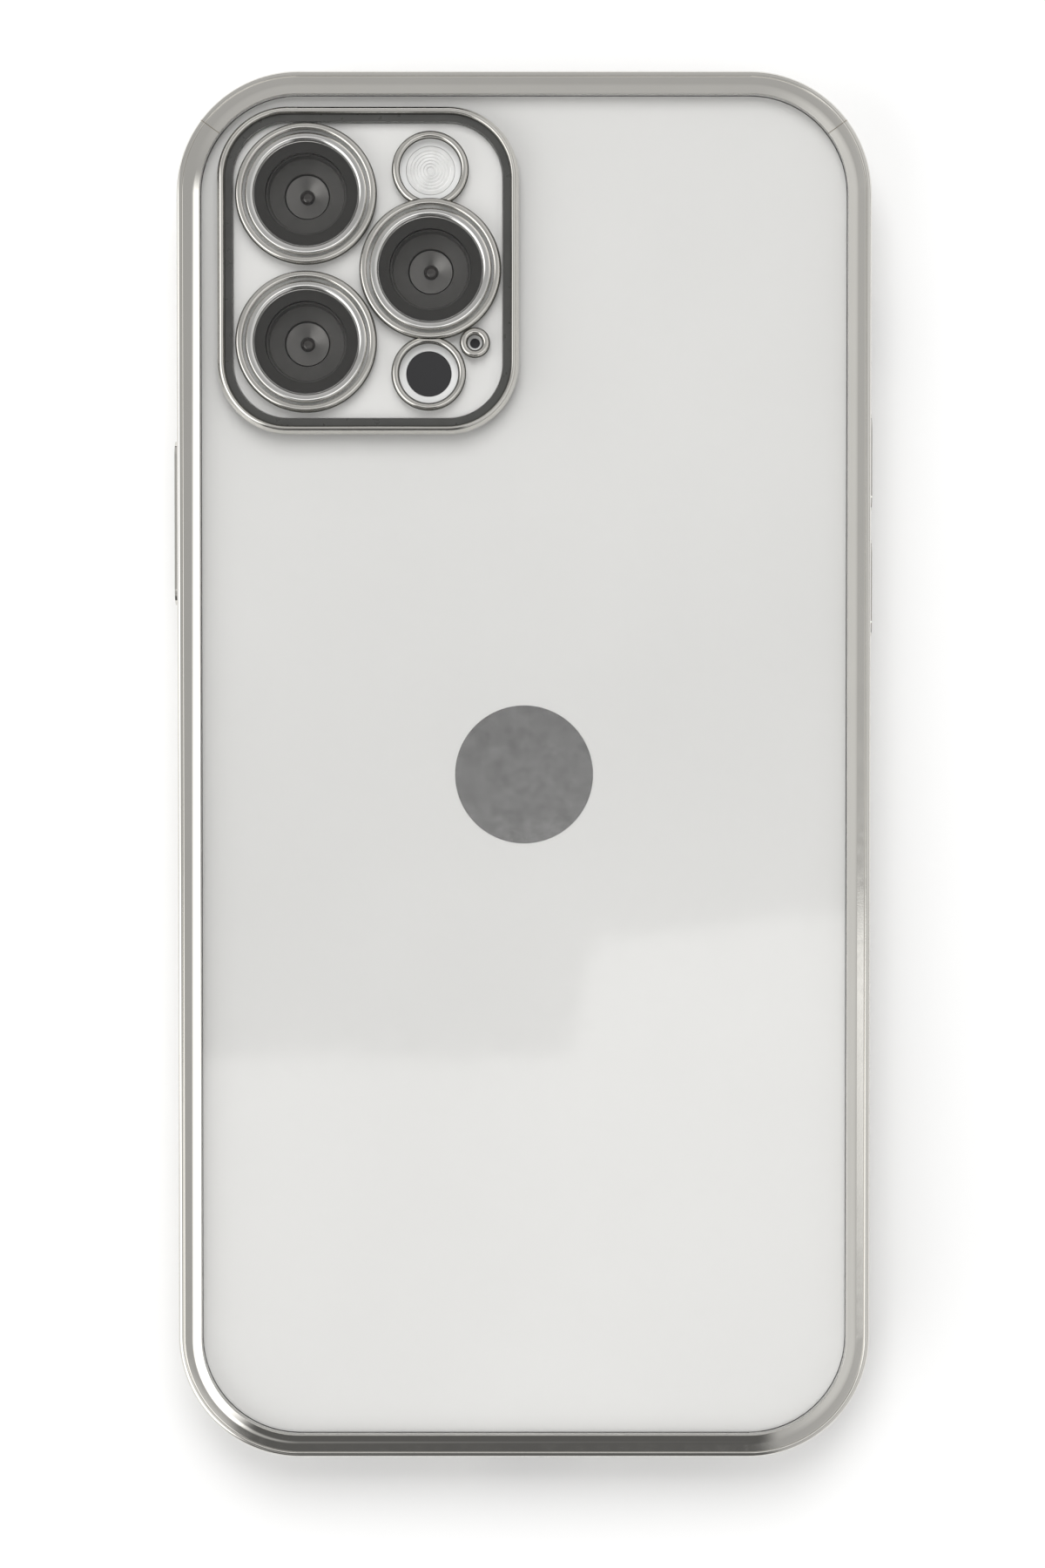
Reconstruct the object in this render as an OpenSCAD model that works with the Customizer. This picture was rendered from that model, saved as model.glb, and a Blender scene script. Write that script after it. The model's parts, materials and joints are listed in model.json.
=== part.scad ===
// Smartphone in a clear case with a plated edge.
// The phone lies on its screen: +Z points out of the back, +Y towards the cameras.
// The origin is the middle of the outline, on the plane of the case's front lip.

/* [Phone] */
// Width of the phone
phone_w = 71.5; // [62:0.1:86]
// Length of the phone
phone_l = 146.7; // [122:0.1:176]
// Thickness of the phone, glass to glass
phone_t = 7.4; // [7.2:0.1:9]
// Corner radius of the phone, seen from the back
phone_corner = 11.35; // [9:0.05:14]
// Wall of the steel frame band
band_wall = 2; // [1.6:0.1:2.4]
// Width of the steel edge left showing round each glass
band_edge = 0.8; // [0.5:0.1:1]
// Thickness of the front and rear glass
glass_t = 0.7; // [0.5:0.05:0.8]
// How far each glass stands proud of the band
glass_proud = 0.15; // [0.1:0.05:0.3]

/* [Case] */
// Wall of the clear shell at the sides
shell_wall = 0.9; // [0.7:0.1:1.5]
// Thickness of the plated bumper outside the shell
bumper_wall = 0.9; // [0.7:0.1:1.5]
// Thickness of the clear back panel
panel_t = 1.1; // [0.8:0.1:1.6]
// Height of the front lip above the display glass
lip_h = 0.8; // [0.5:0.1:1.5]
// How far the front lip reaches over the phone's edge
lip_reach = 0.6; // [0.4:0.1:0.7]
// How far the bumper reaches over the edge of the back
bumper_reach = 0.75; // [0.5:0.05:1.5]
// Height of the bumper's crest above the back panel
crest_h = 0.45; // [0.3:0.05:0.8]
// Clearance between the phone and its case
case_gap = 0.05; // [0.02:0.01:0.1]

/* [Camera island] */
// Centre of the island from the middle of the phone, sideways
island_x = -16.85; // [-18:0.05:-15]
// Distance from the top edge of the phone to the centre of the island
island_down = 19.75; // [19:0.05:24]
// Width of the plate inside the camera frame
plate_w = 29.2; // [28.6:0.1:31]
// Length of the plate inside the camera frame
plate_l = 31.85; // [31:0.05:34]
// Corner radius of that plate
plate_corner = 6; // [4:0.1:8]
// Width of the dark band round the plate
island_band = 0.8; // [0.5:0.05:1.2]
// Width of the plated bead of the camera frame
bead_w = 0.9; // [0.5:0.05:1]
// Height of the plated bead above the back panel
bead_h = 1.55; // [1:0.05:2.5]
// Height of the phone's camera plateau
plateau_h = 1.15; // [0.8:0.05:1.6]
// Thickness of the lens guard plate
guard_t = 0.8; // [0.5:0.05:1.2]

/* [Lenses] */
// Distance from the island's centre to the two stacked lenses, sideways
lens_side = 6.65; // [6.6:0.05:7]
// Half the distance between the two stacked lenses
lens_half_pitch = 7.95; // [7.8:0.05:8.4]
// Radius of the lens glass
lens_r = 5.6; // [5:0.05:5.8]
// Width of the phone's steel lens ring
lens_ring_w = 0.95; // [0.6:0.05:1.1]
// Gap between the steel ring and the case's ring
lens_ring_gap = 0.25; // [0.1:0.05:0.4]
// Width of the case's plated lens ring
case_ring_w = 0.7; // [0.5:0.05:0.9]
// Height of the case's lens ring above the guard plate
case_ring_h = 0.8; // [0.5:0.05:1.2]
// Radius of a focusing lens barrel
barrel_r = 4.4; // [4:0.05:4.8]
// Focus travel of a lens barrel
focus_travel = 0.3; // [0.1:0.05:0.35]

/* [Buttons] */
// Travel of each button
key_travel = 0.3; // [0.2:0.05:0.32]
// Length of the side button's cover
side_key_l = 17.9; // [12:0.1:22]
// Length of each volume button's cover
volume_key_l = 10.8; // [9:0.1:12.5]
// Height of the button covers
cover_h = 3.6; // [3:0.1:4.4]
// How far the side button's cover stands out of the bumper
side_cover_proud = 0.5; // [0.2:0.05:0.8]
// How far the volume covers stand out of the bumper
volume_cover_proud = 0.35; // [0.2:0.05:0.8]
// Travel of the mute switch
mute_travel = 1.2; // [0.8:0.1:1.4]
// Clearance round each sliding piece
slide_gap = 0.08; // [0.05:0.01:0.1]

/* [Charge port] */
// Width of the port's opening
port_w = 8.34; // [6:0.01:9]
// Height of the port's opening
port_h = 2.56; // [1.8:0.01:3]
// Wall of the port's metal shell
port_wall = 0.35; // [0.25:0.05:0.5]

/* [Hidden] */
$fn = 64;

// Colours
plated = [0.72, 0.71, 0.68];
steel = [0.8, 0.8, 0.78];
clear = [0.9, 0.92, 0.93, 0.35];
silver_white = [0.86, 0.86, 0.84];
near_black = [0.08, 0.08, 0.09];
copper = [0.75, 0.45, 0.25];
board_green = [0.1, 0.3, 0.2];

// Outline
half_w = phone_w / 2;
half_l = phone_l / 2;

// Heights, from the lip plane up to the back
front_z = lip_h;
back_z = front_z + phone_t;
band_z0 = front_z + glass_proud;
band_z1 = back_z - glass_proud;
display_z = front_z + glass_t;
gasket_t = 0.1;
display_ledge = display_z + gasket_t;
rear_glass_z = back_z - glass_t;
rear_ledge = rear_glass_z - gasket_t;
panel_display_t = 0.8;
mid_z0 = display_z + panel_display_t + 0.05;
mid_t = 0.4;
mid_z1 = mid_z0 + mid_t;
panel_z0 = back_z + case_gap;
panel_z1 = panel_z0 + panel_t;
rim_z = panel_z1 - 0.3;
middle_z = (front_z + back_z) / 2;

// Case section, measured outwards from the phone's outline
shell_out = case_gap + shell_wall;
case_out = shell_out + bumper_wall;

// Camera island
island_y = half_l - island_down;
plateau_z = back_z + plateau_h;
plateau_clear = 0.15;
guard_z0 = max(plateau_z, panel_z1) + 0.05;
guard_z1 = guard_z0 + guard_t;
ring_out = lens_r + 0.05 + lens_ring_w;
case_ring_in = ring_out + lens_ring_gap;
case_ring_out = case_ring_in + case_ring_w;
wide_at = [island_x - lens_side, island_y + lens_half_pitch + 0.25];
main_at = [island_x - lens_side, island_y - lens_half_pitch + 0.25];
tele_at = [island_x + lens_side + 0.1, island_y + 0.1];
LENSES = [wide_at, main_at, tele_at];
flash_at = [tele_at[0], tele_at[1] + 10.7];
depth_at = [tele_at[0] - 0.18, tele_at[1] - 11.2];
mic_at = [tele_at[0] + 4.8, tele_at[1] - 7.9];
small_ring_w = 0.65;
flash_ring_in = 3.4;
depth_ring_in = 3.28;
mic_ring_in = 0.9;
flash_r = 2.65;
depth_r = 2.46;
mic_r = 0.55;
bore_gap = 0.06;
lens_hole_r = barrel_r + 0.6;
ring_seat_z = plateau_z + 0.7;
lens_glass_t = 0.35;
ring_top_z = ring_seat_z + lens_glass_t + 0.2;
bracket_z0 = mid_z1 + 1.7;
bracket_floor = 0.3;
bracket_z1 = rear_ledge;
sensor_t = 0.5;
barrel_z0 = bracket_z0 + bracket_floor + sensor_t + 0.35;
focus_clear = 0.45;
barrel_z1 = ring_seat_z - focus_travel - focus_clear;

// Buttons: places along the length, measured down from the top edge
side_key_y = half_l - 46.75;
volume_up_y = half_l - 40.15;
volume_down_y = half_l - 53.8;
mute_y = half_l - 26.2;
key_h = 2.6;
key_inset = 0.5;
key_proud = key_travel + 0.05;
flange_t = 0.4;
flange_x1 = half_w - band_wall - 0.05;
flange_x0 = flange_x1 - flange_t;
switch_x1 = flange_x0 - key_travel - 0.05;
switch_t = 0.6;
mute_l = 5.6;
mute_h = 1.9;
mute_proud = 0.25;
mute_opening_l = 11;
mute_opening_h = 5.6;

// Antenna breaks
break_w = 1.2;
break_depth = 1.1;

// Bottom edge
port_depth = 6.5;
port_shell_end = 0.4;
grille_x = 17;
grille_pitch = 1.9;
grille_holes = 6;
grille_hole_r = 0.55;
bottom_screw_x = port_w / 2 + port_wall + 2.1;
bottom_screw_r = 0.75;

// SIM tray
tray_y = half_l - 80.5;
tray_l = 15.4;
tray_h = 2;
tray_depth = 14.2;
tray_z = mid_z1 + 2.9;
card_l = 12.3;
card_w = 8.8;
card_t = 0.67;

// Inner pieces
part_gap = 0.2;
board_z0 = mid_z1 + 0.85;
board_t = 0.8;
board_z1 = board_z0 + board_t;
board_x0 = 11;
board_x1 = half_w - 4.75;
board_y0 = tray_y - tray_l / 2 - 9.15;
board_y1 = half_l - 8.35;
battery_x0 = -(half_w - 5.25);
battery_x1 = 9;
battery_y0 = -(half_l - 27.35);
battery_y1 = island_y - plate_l / 2 - 4.5;
coil_z0 = rear_ledge - 0.45;
coil_t = 0.35;
haptic_w = 25.5;
haptic_d = 8.5;
haptic_wall = 0.4;
haptic_x = -(half_w - 17.5);
haptic_y = -(half_l - 16.1);
haptic_travel = 0.6;
haptic_spring_room = 1.75;
haptic_mass_l = haptic_w - 2 * haptic_wall - 2 * (haptic_travel + haptic_spring_room);
haptic_z1 = mid_z1 + 4;
notch_w = 35;
notch_d = 5.4;
earpiece_y = half_l - 2.9;
sensor_y0 = half_l - 7.6;
sensor_y1 = half_l - 3.8;
sensor_z1 = mid_z1 + 0.65;
front_camera_at = [10.5, half_l - 5.8];
display_edge = 2.6;
BOARD_SCREWS = [
  [board_x0 + 1.6, board_y0 + 2], [board_x1 - 1.6, board_y0 + 2], [board_x0 + 1.6, 4.6],
  [board_x1 - 1.6, board_y1 - 2.2], [board_x0 + 1.6, board_y1 - 2.2]
];

// ---- shared shapes ----

module rounded(w, l, r) {
  square([w - 2 * r, l], center = true);
  square([w, l - 2 * r], center = true);
  for (x = [-1, 1], y = [-1, 1]) translate([x * (w / 2 - r), y * (l / 2 - r)]) circle(r);
}

// A flat layer with the phone's outline, set in by an inset
module layer(inset, z0, z1) {
  translate([0, 0, z0]) linear_extrude(z1 - z0)
    rounded(phone_w - 2 * inset, phone_l - 2 * inset, phone_corner - inset);
}

module layer_ring(inset_out, inset_in, z0, z1) {
  difference() {
    layer(inset_out, z0, z1);
    layer(inset_in, z0 - 1, z1 + 1);
  }
}

// A flat layer with the camera plate's outline, grown by a margin
module island(grow, z0, z1) {
  translate([island_x, island_y, z0]) linear_extrude(z1 - z0)
    rounded(plate_w + 2 * grow, plate_l + 2 * grow, plate_corner + grow);
}

// Sweeps a section round the phone: its x is measured outwards from the outline
module around() {
  straight = [phone_l - 2 * phone_corner, phone_w - 2 * phone_corner];
  for (q = [[1, 1, 0], [-1, 1, 90], [-1, -1, 180], [1, -1, 270]])
    translate([q[0] * (half_w - phone_corner), q[1] * (half_l - phone_corner), 0])
      rotate([0, 0, q[2]]) rotate_extrude(angle = 90) translate([phone_corner, 0]) children();
  for (turn = [0, 180]) {
    rotate([0, 0, turn]) translate([half_w, straight[0] / 2, 0])
      rotate([90, 0, 0]) linear_extrude(straight[0]) children();
    rotate([0, 0, turn + 90]) translate([half_l, straight[1] / 2, 0])
      rotate([90, 0, 0]) linear_extrude(straight[1]) children();
  }
}

module tube(at, r_out, r_in, z0, z1) {
  translate([at[0], at[1], z0]) linear_extrude(z1 - z0) difference() {
    circle(r_out);
    circle(r_in);
  }
}

module disc(at, r, z0, z1) {
  translate([at[0], at[1], z0]) cylinder(h = z1 - z0, r = r);
}

// A ring with a half-round top
module bead_ring(at, r_in, w, z0, h) {
  translate([at[0], at[1], z0]) rotate_extrude() intersection() {
    translate([r_in, 0]) square([w, h]);
    union() {
      translate([r_in, -w]) square([w, h + w / 2]);
      translate([r_in + w / 2, h - w / 2]) circle(w / 2);
    }
  }
}

module box(x0, x1, y0, y1, z0, z1) {
  translate([x0, y0, z0]) cube([x1 - x0, y1 - y0, z1 - z0]);
}

module soft_box(x0, x1, y0, y1, z0, z1, r) {
  translate([(x0 + x1) / 2, (y0 + y1) / 2, z0]) linear_extrude(z1 - z0)
    rounded(x1 - x0, y1 - y0, r);
}

module pill(len, h) {
  square([len - h, h], center = true);
  for (end = [-1, 1]) translate([end * (len - h) / 2, 0]) circle(h / 2);
}

// Turns a piece drawn on the right edge to either side: 1 is right, -1 is left
module on_side(side, y) {
  translate([0, y, 0]) rotate([0, 0, 90 - 90 * side]) children();
}

// A bar along X with a pill section, for keys, covers and their openings
module side_bar(x0, x1, len, h, z = middle_z) {
  translate([x0, 0, z]) rotate([90, 0, 90]) linear_extrude(x1 - x0) pill(len, h);
}

// The same bar through the bottom edge, measured outwards from the phone's middle
module bottom_bar(x, y0, y1, len, h) {
  translate([x, -y0, middle_z]) rotate([90, 0, 0]) linear_extrude(y1 - y0) pill(len, h);
}

// ---- case ----

module case_openings() {
  far = half_w + case_out + 1;
  on_side(-1, side_key_y)
    side_bar(half_w - 2, far, side_key_l + 2 * slide_gap, cover_h + 2 * slide_gap);
  for (y = [volume_up_y, volume_down_y]) on_side(1, y)
    side_bar(half_w - 2, far, volume_key_l + 2 * slide_gap, cover_h + 2 * slide_gap);
  on_side(1, mute_y) side_bar(half_w - 2, far, mute_opening_l, mute_opening_h);
  bottom_bar(0, half_l - 2, half_l + case_out + 1, port_w + 4.6, port_h + 3.4);
  for (side = [-1, 1])
    bottom_bar(side * grille_x, half_l - 2, half_l + case_out + 1, 14, 2.8);
}

// The soft inner shell: front lip, side wall and the sunk rim that the bumper sits on
module shell_section() {
  polygon([
    [-lip_reach, 0], [shell_out, 0], [shell_out, rim_z - 0.55], [shell_out - 0.55, rim_z],
    [-bumper_reach - 0.1, rim_z], [-bumper_reach - 0.1, panel_z0], [case_gap, panel_z0],
    [case_gap, front_z - case_gap], [-lip_reach, front_z - case_gap]
  ]);
}

// The plated bumper: outer roll, nearly level shelf, then a crest that falls to the panel
module bumper_section() {
  ledge_z = panel_z1 - 0.15;
  crest_z = panel_z1 + crest_h;
  polygon([
    [shell_out, 0.4], [case_out - 0.5, 0.15], [case_out - 0.15, 0.5], [case_out, 1.2],
    [case_out, ledge_z - 0.6], [case_out - 0.12, ledge_z - 0.25],
    [case_out - 0.3, ledge_z - 0.08], [case_out - 0.6, ledge_z],
    [0.85 - bumper_reach, ledge_z + 0.12], [0.3 - bumper_reach, crest_z],
    [0.15 - bumper_reach, crest_z], [-bumper_reach, panel_z1], [-bumper_reach, rim_z],
    [shell_out - 0.55, rim_z], [shell_out, rim_z - 0.55]
  ]);
}

module case_shell() {
  color(clear) difference() {
    union() {
      around() shell_section();
      layer(bumper_reach, panel_z0, panel_z1);
    }
    island(plateau_clear, panel_z0 - 1, panel_z1 + 1);
    case_openings();
  }
}

module case_bumper() {
  color(plated) difference() {
    around() bumper_section();
    case_openings();
  }
}

module case_camera_frame() {
  color(plated) difference() {
    island(island_band + bead_w, panel_z1, panel_z1 + bead_h);
    island(island_band, panel_z1 - 1, panel_z1 + bead_h + 1);
  }
}

module case_camera_band() {
  color(near_black) difference() {
    island(island_band, panel_z1, guard_z1 + 0.05);
    island(0, panel_z1 - 1, guard_z1 + 1);
  }
}

module case_lens_guard() {
  color(clear) difference() {
    island(0, guard_z0, guard_z1);
    for (at = LENSES) disc(at, case_ring_in, guard_z0 - 1, guard_z1 + 1);
    disc(flash_at, flash_ring_in, guard_z0 - 1, guard_z1 + 1);
    disc(depth_at, depth_ring_in, guard_z0 - 1, guard_z1 + 1);
    disc(mic_at, mic_ring_in, guard_z0 - 1, guard_z1 + 1);
  }
}

module case_lens_rings() {
  color(plated) for (at = LENSES) bead_ring(at, case_ring_in, case_ring_w, guard_z1, case_ring_h);
}

module case_small_rings() {
  low = case_ring_h - 0.2;
  color(plated) difference() {
    union() {
      bead_ring(flash_at, flash_ring_in, small_ring_w, guard_z1, low);
      bead_ring(depth_at, depth_ring_in, small_ring_w, guard_z1, low);
      bead_ring(mic_at, mic_ring_in, small_ring_w, guard_z1, low);
    }
    disc(tele_at, case_ring_out + 0.05, guard_z1 - 1, guard_z1 + 2);
  }
}

module button_cover(side, y, len, proud) {
  color(plated) on_side(side, y)
    side_bar(half_w + key_proud, half_w + case_out + proud, len, cover_h);
}

// ---- frame ----

module band_openings() {
  inner = half_w - band_wall - 1;
  outer = half_w + 1;
  key_room = 2 * slide_gap;
  on_side(-1, side_key_y)
    side_bar(inner, outer, side_key_l - 2 * key_inset + key_room, key_h + key_room);
  for (y = [volume_up_y, volume_down_y]) on_side(1, y)
    side_bar(inner, outer, volume_key_l - 2 * key_inset + key_room, key_h + key_room);
  on_side(1, mute_y) translate([0, 0, middle_z - mute_travel / 2 - slide_gap])
    translate([inner, -mute_l / 2 - slide_gap, -mute_h / 2])
      cube([outer - inner, mute_l + key_room, mute_h + mute_travel + key_room]);
  on_side(1, tray_y) side_bar(inner, outer, tray_l + 0.1, tray_h + 0.1, tray_z);
  on_side(1, tray_y + tray_l / 2 + 2) translate([inner, 0, tray_z]) rotate([0, 90, 0])
    cylinder(h = outer - inner, r = 0.4);
  bottom_bar(0, half_l - band_wall - 1, half_l + 1, port_w + 2 * port_wall + 0.1,
    port_h + 2 * port_wall + 0.1);
  for (side = [-1, 1], hole = [0:grille_holes - 1])
    translate([side * grille_x + (hole - (grille_holes - 1) / 2) * grille_pitch, 0, middle_z])
      rotate([90, 0, 0]) cylinder(h = half_l + 1, r = grille_hole_r);
  for (side = [-1, 1]) translate([side * bottom_screw_x, 0, middle_z]) rotate([90, 0, 0]) {
    cylinder(h = half_l + 1, r = bottom_screw_r - 0.25);
    translate([0, 0, half_l - 0.8]) cylinder(h = 2, r = bottom_screw_r + 0.02);
  }
}

// Slots for the antenna breaks: one near each end of the long sides, one on each short side
module break_slots(depth, clear_side) {
  for (side = [-1, 1], end = [-1, 1]) on_side(side, end * (half_l - 17))
    box(half_w - depth, half_w + clear_side, -break_w / 2, break_w / 2, band_z0 - clear_side,
      band_z1 + clear_side);
  for (end = [-1, 1]) rotate([0, 0, 90 * end]) translate([0, half_w - phone_corner + 0.8, 0])
    box(half_l - depth, half_l + clear_side, -break_w / 2, break_w / 2, band_z0 - clear_side,
      band_z1 + clear_side);
}

module frame_band() {
  color(steel) difference() {
    layer(0, band_z0, band_z1);
    layer(band_wall, band_z0 - 1, band_z1 + 1);
    layer(band_edge - case_gap, band_z0 - 1, display_ledge);
    layer(band_edge - case_gap, rear_ledge, band_z1 + 1);
    break_slots(break_depth, 1);
    band_openings();
  }
}

module antenna_breaks() {
  color([0.62, 0.62, 0.6]) intersection() {
    break_slots(break_depth, 0);
    layer_ring(0, band_edge - case_gap, band_z0, band_z1);
  }
}

module mid_plate() {
  sensor_room = 0.3;
  color(steel) difference() {
    layer(band_wall, mid_z0, mid_z1);
    box(-notch_w / 2 - sensor_room, notch_w / 2 + sensor_room, sensor_y0 - 0.8, sensor_y1 + 0.4,
      mid_z0 - 1, mid_z1 + 1);
    box(battery_x1 + 0.6, battery_x1 + 1.3, -21.2, -14.8, mid_z0 - 1, mid_z1 + 1);
  }
}

module rear_glass() {
  color(silver_white) difference() {
    layer(band_edge, rear_glass_z, back_z);
    for (at = LENSES) disc(at, lens_hole_r, rear_glass_z - 1, back_z + 1);
    disc(flash_at, flash_r - 0.4, rear_glass_z - 1, back_z + 1);
    disc(depth_at, depth_r, rear_glass_z - 1, back_z + 1);
    disc(mic_at, mic_r, rear_glass_z - 1, back_z + 1);
  }
}

module rear_inlay() {
  color([0.5, 0.5, 0.5]) disc([0, -0.8], 7.5, back_z, back_z + case_gap - 0.01);
}

module rear_gasket() {
  color(near_black) layer_ring(band_edge + 0.2, band_wall - 0.1, rear_ledge, rear_glass_z);
}

// ---- rear cameras ----

module camera_plateau() {
  color(silver_white) difference() {
    island(-0.1, back_z, plateau_z);
    for (at = LENSES) disc(at, lens_hole_r, back_z - 1, plateau_z + 1);
    disc(flash_at, flash_r, back_z - 1, plateau_z + 1);
    disc(depth_at, depth_r, back_z - 1, plateau_z + 1);
    disc(mic_at, mic_r, back_z - 1, plateau_z + 1);
  }
}

module lens_rings() {
  seat_r = lens_r + 0.05;
  color(steel) for (at = LENSES) translate([at[0], at[1], 0]) rotate_extrude() polygon([
    [lens_hole_r, plateau_z], [ring_out, plateau_z], [ring_out, ring_top_z - 0.2],
    [ring_out - 0.2, ring_top_z], [seat_r, ring_top_z], [seat_r, ring_seat_z],
    [lens_hole_r, ring_seat_z]
  ]);
}

module lens_glasses() {
  color([0.1, 0.1, 0.14, 0.6])
    for (at = LENSES) disc(at, lens_r, ring_seat_z, ring_seat_z + lens_glass_t);
}

// A barrel with a stepped baffle that narrows to the front element
module lens_barrel(at, pupil_r) {
  depth = barrel_z1 - barrel_z0;
  color(near_black) translate([at[0], at[1], barrel_z0]) rotate_extrude() polygon([
    [0, 0], [barrel_r, 0], [barrel_r, depth], [barrel_r - 0.3, depth],
    [barrel_r - 0.5, depth - 0.5], [barrel_r - 1.1, depth - 0.6], [barrel_r - 1.2, depth - 1.1],
    [pupil_r, depth - 1.3], [pupil_r, depth - 1.7], [pupil_r / 2, depth - 1.55],
    [0, depth - 1.5]
  ]);
}

module lens_barrel_main() { lens_barrel(main_at, 2.35); }
module lens_barrel_wide() { lens_barrel(wide_at, 2.6); }
module lens_barrel_tele() { lens_barrel(tele_at, 2.2); }

module camera_bracket() {
  color(steel) difference() {
    island(-1.3, bracket_z0, bracket_z1);
    for (at = LENSES) disc(at, barrel_r + bore_gap, bracket_z0 + bracket_floor, bracket_z1 + 1);
    disc(flash_at, 3, bracket_z1 - 1.2, bracket_z1 + 1);
    disc(depth_at, depth_r + 0.05, bracket_z0 + 0.6, bracket_z1 + 1);
    disc(mic_at, 1.2, bracket_z1 - 0.8, bracket_z1 + 1);
  }
}

module image_sensors() {
  z0 = bracket_z0 + bracket_floor;
  color([0.2, 0.25, 0.35]) for (at = LENSES)
    box(at[0] - 3, at[0] + 3, at[1] - 2.3, at[1] + 2.3, z0, z0 + sensor_t);
}

module flash_lens() {
  color("white") disc(flash_at, flash_r - 0.03, back_z, plateau_z + 0.05);
}

module flash_led_board() {
  color([0.9, 0.8, 0.4]) {
    disc(flash_at, 2.1, bracket_z1 - 1.2, bracket_z1 - 0.6);
    box(flash_at[0] - 1.1, flash_at[0] + 1.1, flash_at[1] - 1.1, flash_at[1] + 1.1,
      bracket_z1 - 0.6, bracket_z1 + 0.1);
  }
}

module depth_sensor_window() {
  color(near_black) disc(depth_at, depth_r - 0.03, plateau_z - 0.6, plateau_z + 0.05);
}

module depth_sensor_module() {
  color([0.15, 0.12, 0.2]) disc(depth_at, depth_r - 0.2, bracket_z0 + 0.6, plateau_z - 0.6);
}

module rear_microphone() {
  color(near_black) {
    disc(mic_at, 1.1, bracket_z1 - 0.8, bracket_z1 + 0.05);
    disc(mic_at, mic_r - 0.03, bracket_z1 + 0.05, plateau_z - 0.2);
  }
}

// ---- display side ----

module earpiece_slot(grow, z0, z1) {
  translate([0, earpiece_y, z0]) linear_extrude(z1 - z0) pill(10.6 + 2 * grow, 0.9 + 2 * grow);
}

module display_glass() {
  color([0.05, 0.05, 0.06]) difference() {
    layer(band_edge, front_z, display_z);
    earpiece_slot(0, front_z - 1, display_z + 1);
  }
}

module display_panel() {
  notch_y = half_l - display_edge - notch_d / 2;
  color([0.02, 0.02, 0.03]) difference() {
    layer(display_edge, display_z, display_z + panel_display_t);
    translate([0, notch_y + notch_d / 2, display_z - 1]) linear_extrude(panel_display_t + 2)
      rounded(notch_w + 1, 2 * notch_d, 2.5);
  }
}

module display_gasket() {
  color(near_black) layer_ring(band_edge + 0.2, band_wall - 0.1, display_z, display_ledge);
}

module earpiece_mesh() {
  color([0.25, 0.25, 0.27]) earpiece_slot(-0.03, front_z + 0.15, display_z);
}

module earpiece_speaker() {
  color(near_black) box(-5.8, 5.8, sensor_y0 + 0.3, sensor_y1 + 0.2, display_z, mid_z1 + 0.6);
}

module front_camera() {
  color(near_black) {
    disc(front_camera_at, 1.7, display_z, sensor_z1);
    disc(front_camera_at, 2.2, sensor_z1, sensor_z1 + 0.5);
  }
}

// Infrared camera, projector and light sensor on one bar that passes behind the earpiece
module front_sensor_bar() {
  color([0.3, 0.3, 0.33]) difference() {
    union() {
      for (x = [-16.6, 6.4]) box(x, x + 10.2, sensor_y0, sensor_y1, display_z, sensor_z1);
      box(-16.6, 16.6, sensor_y0 - 1.2, sensor_y0 + 0.1, sensor_z1 - 0.5, sensor_z1);
    }
    disc(front_camera_at, 1.75, display_z - 1, sensor_z1 + 1);
  }
}

// ---- power, logic and sound ----

module battery() {
  color(near_black)
    soft_box(battery_x0, battery_x1, battery_y0, battery_y1, mid_z1 + 0.1, coil_z0 - part_gap, 1.5);
}

module battery_flex() {
  color([0.7, 0.5, 0.2]) soft_box(battery_x1, board_x0 + 3.6, -5, 1, board_z1, board_z1 + 0.2, 0.5);
}

module logic_board() {
  color(board_green) difference() {
    soft_box(board_x0, board_x1, board_y0, board_y1, board_z0, board_z1, 2);
    for (at = BOARD_SCREWS) disc(at, 0.6, board_z0 - 1, board_z1 + 1);
  }
}

module board_shields() {
  x0 = board_x0 + 3;
  x1 = board_x1 - 3;
  color(steel) {
    soft_box(x0, x1, 8, 34, board_z1, board_z1 + 1.9, 1);
    soft_box(x0, x1, 37, board_y1 - 4.5, board_z1, board_z1 + 1.9, 1);
    soft_box(x0, x1, board_y0 + 6, board_y1 - 6, mid_z1 + 0.15, board_z0, 1);
  }
}

module internal_screws() {
  color(steel) for (at = BOARD_SCREWS) {
    disc(at, 0.55, mid_z1, board_z1);
    disc(at, 1, board_z1, board_z1 + 0.5);
  }
}

module display_flex() {
  x = battery_x1 + 0.8;
  color([0.7, 0.5, 0.2]) {
    box(x, x + 0.3, -21, -15, display_z + panel_display_t, board_z1 + 0.2);
    box(x, board_x0 + 1.5, -21, -15, board_z1, board_z1 + 0.2);
  }
}

module haptic_housing() {
  color(steel) difference() {
    soft_box(haptic_x - haptic_w / 2, haptic_x + haptic_w / 2, haptic_y - haptic_d / 2,
      haptic_y + haptic_d / 2, mid_z1, haptic_z1, 0.8);
    box(haptic_x - haptic_w / 2 + haptic_wall, haptic_x + haptic_w / 2 - haptic_wall,
      haptic_y - haptic_d / 2 + haptic_wall, haptic_y + haptic_d / 2 - haptic_wall, mid_z1 - 1,
      haptic_z1 - haptic_wall);
  }
}

module haptic_mass() {
  side = haptic_d / 2 - haptic_wall - slide_gap;
  color([0.45, 0.45, 0.48]) box(haptic_x - haptic_mass_l / 2, haptic_x + haptic_mass_l / 2,
    haptic_y - side, haptic_y + side, mid_z1 + slide_gap, haptic_z1 - haptic_wall - slide_gap);
}

module loudspeaker() {
  color(near_black) soft_box(7.5, half_w - 5.75, -(half_l - 5.4), -(half_l - 20), mid_z1,
    mid_z1 + 4.2, 3);
}

module bottom_grilles() {
  y = half_l - band_wall;
  color([0.3, 0.3, 0.32]) for (side = [-1, 1])
    box(side * grille_x - 6, side * grille_x + 6, -y, -y + 0.25, middle_z - 1, middle_z + 1);
}

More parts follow.
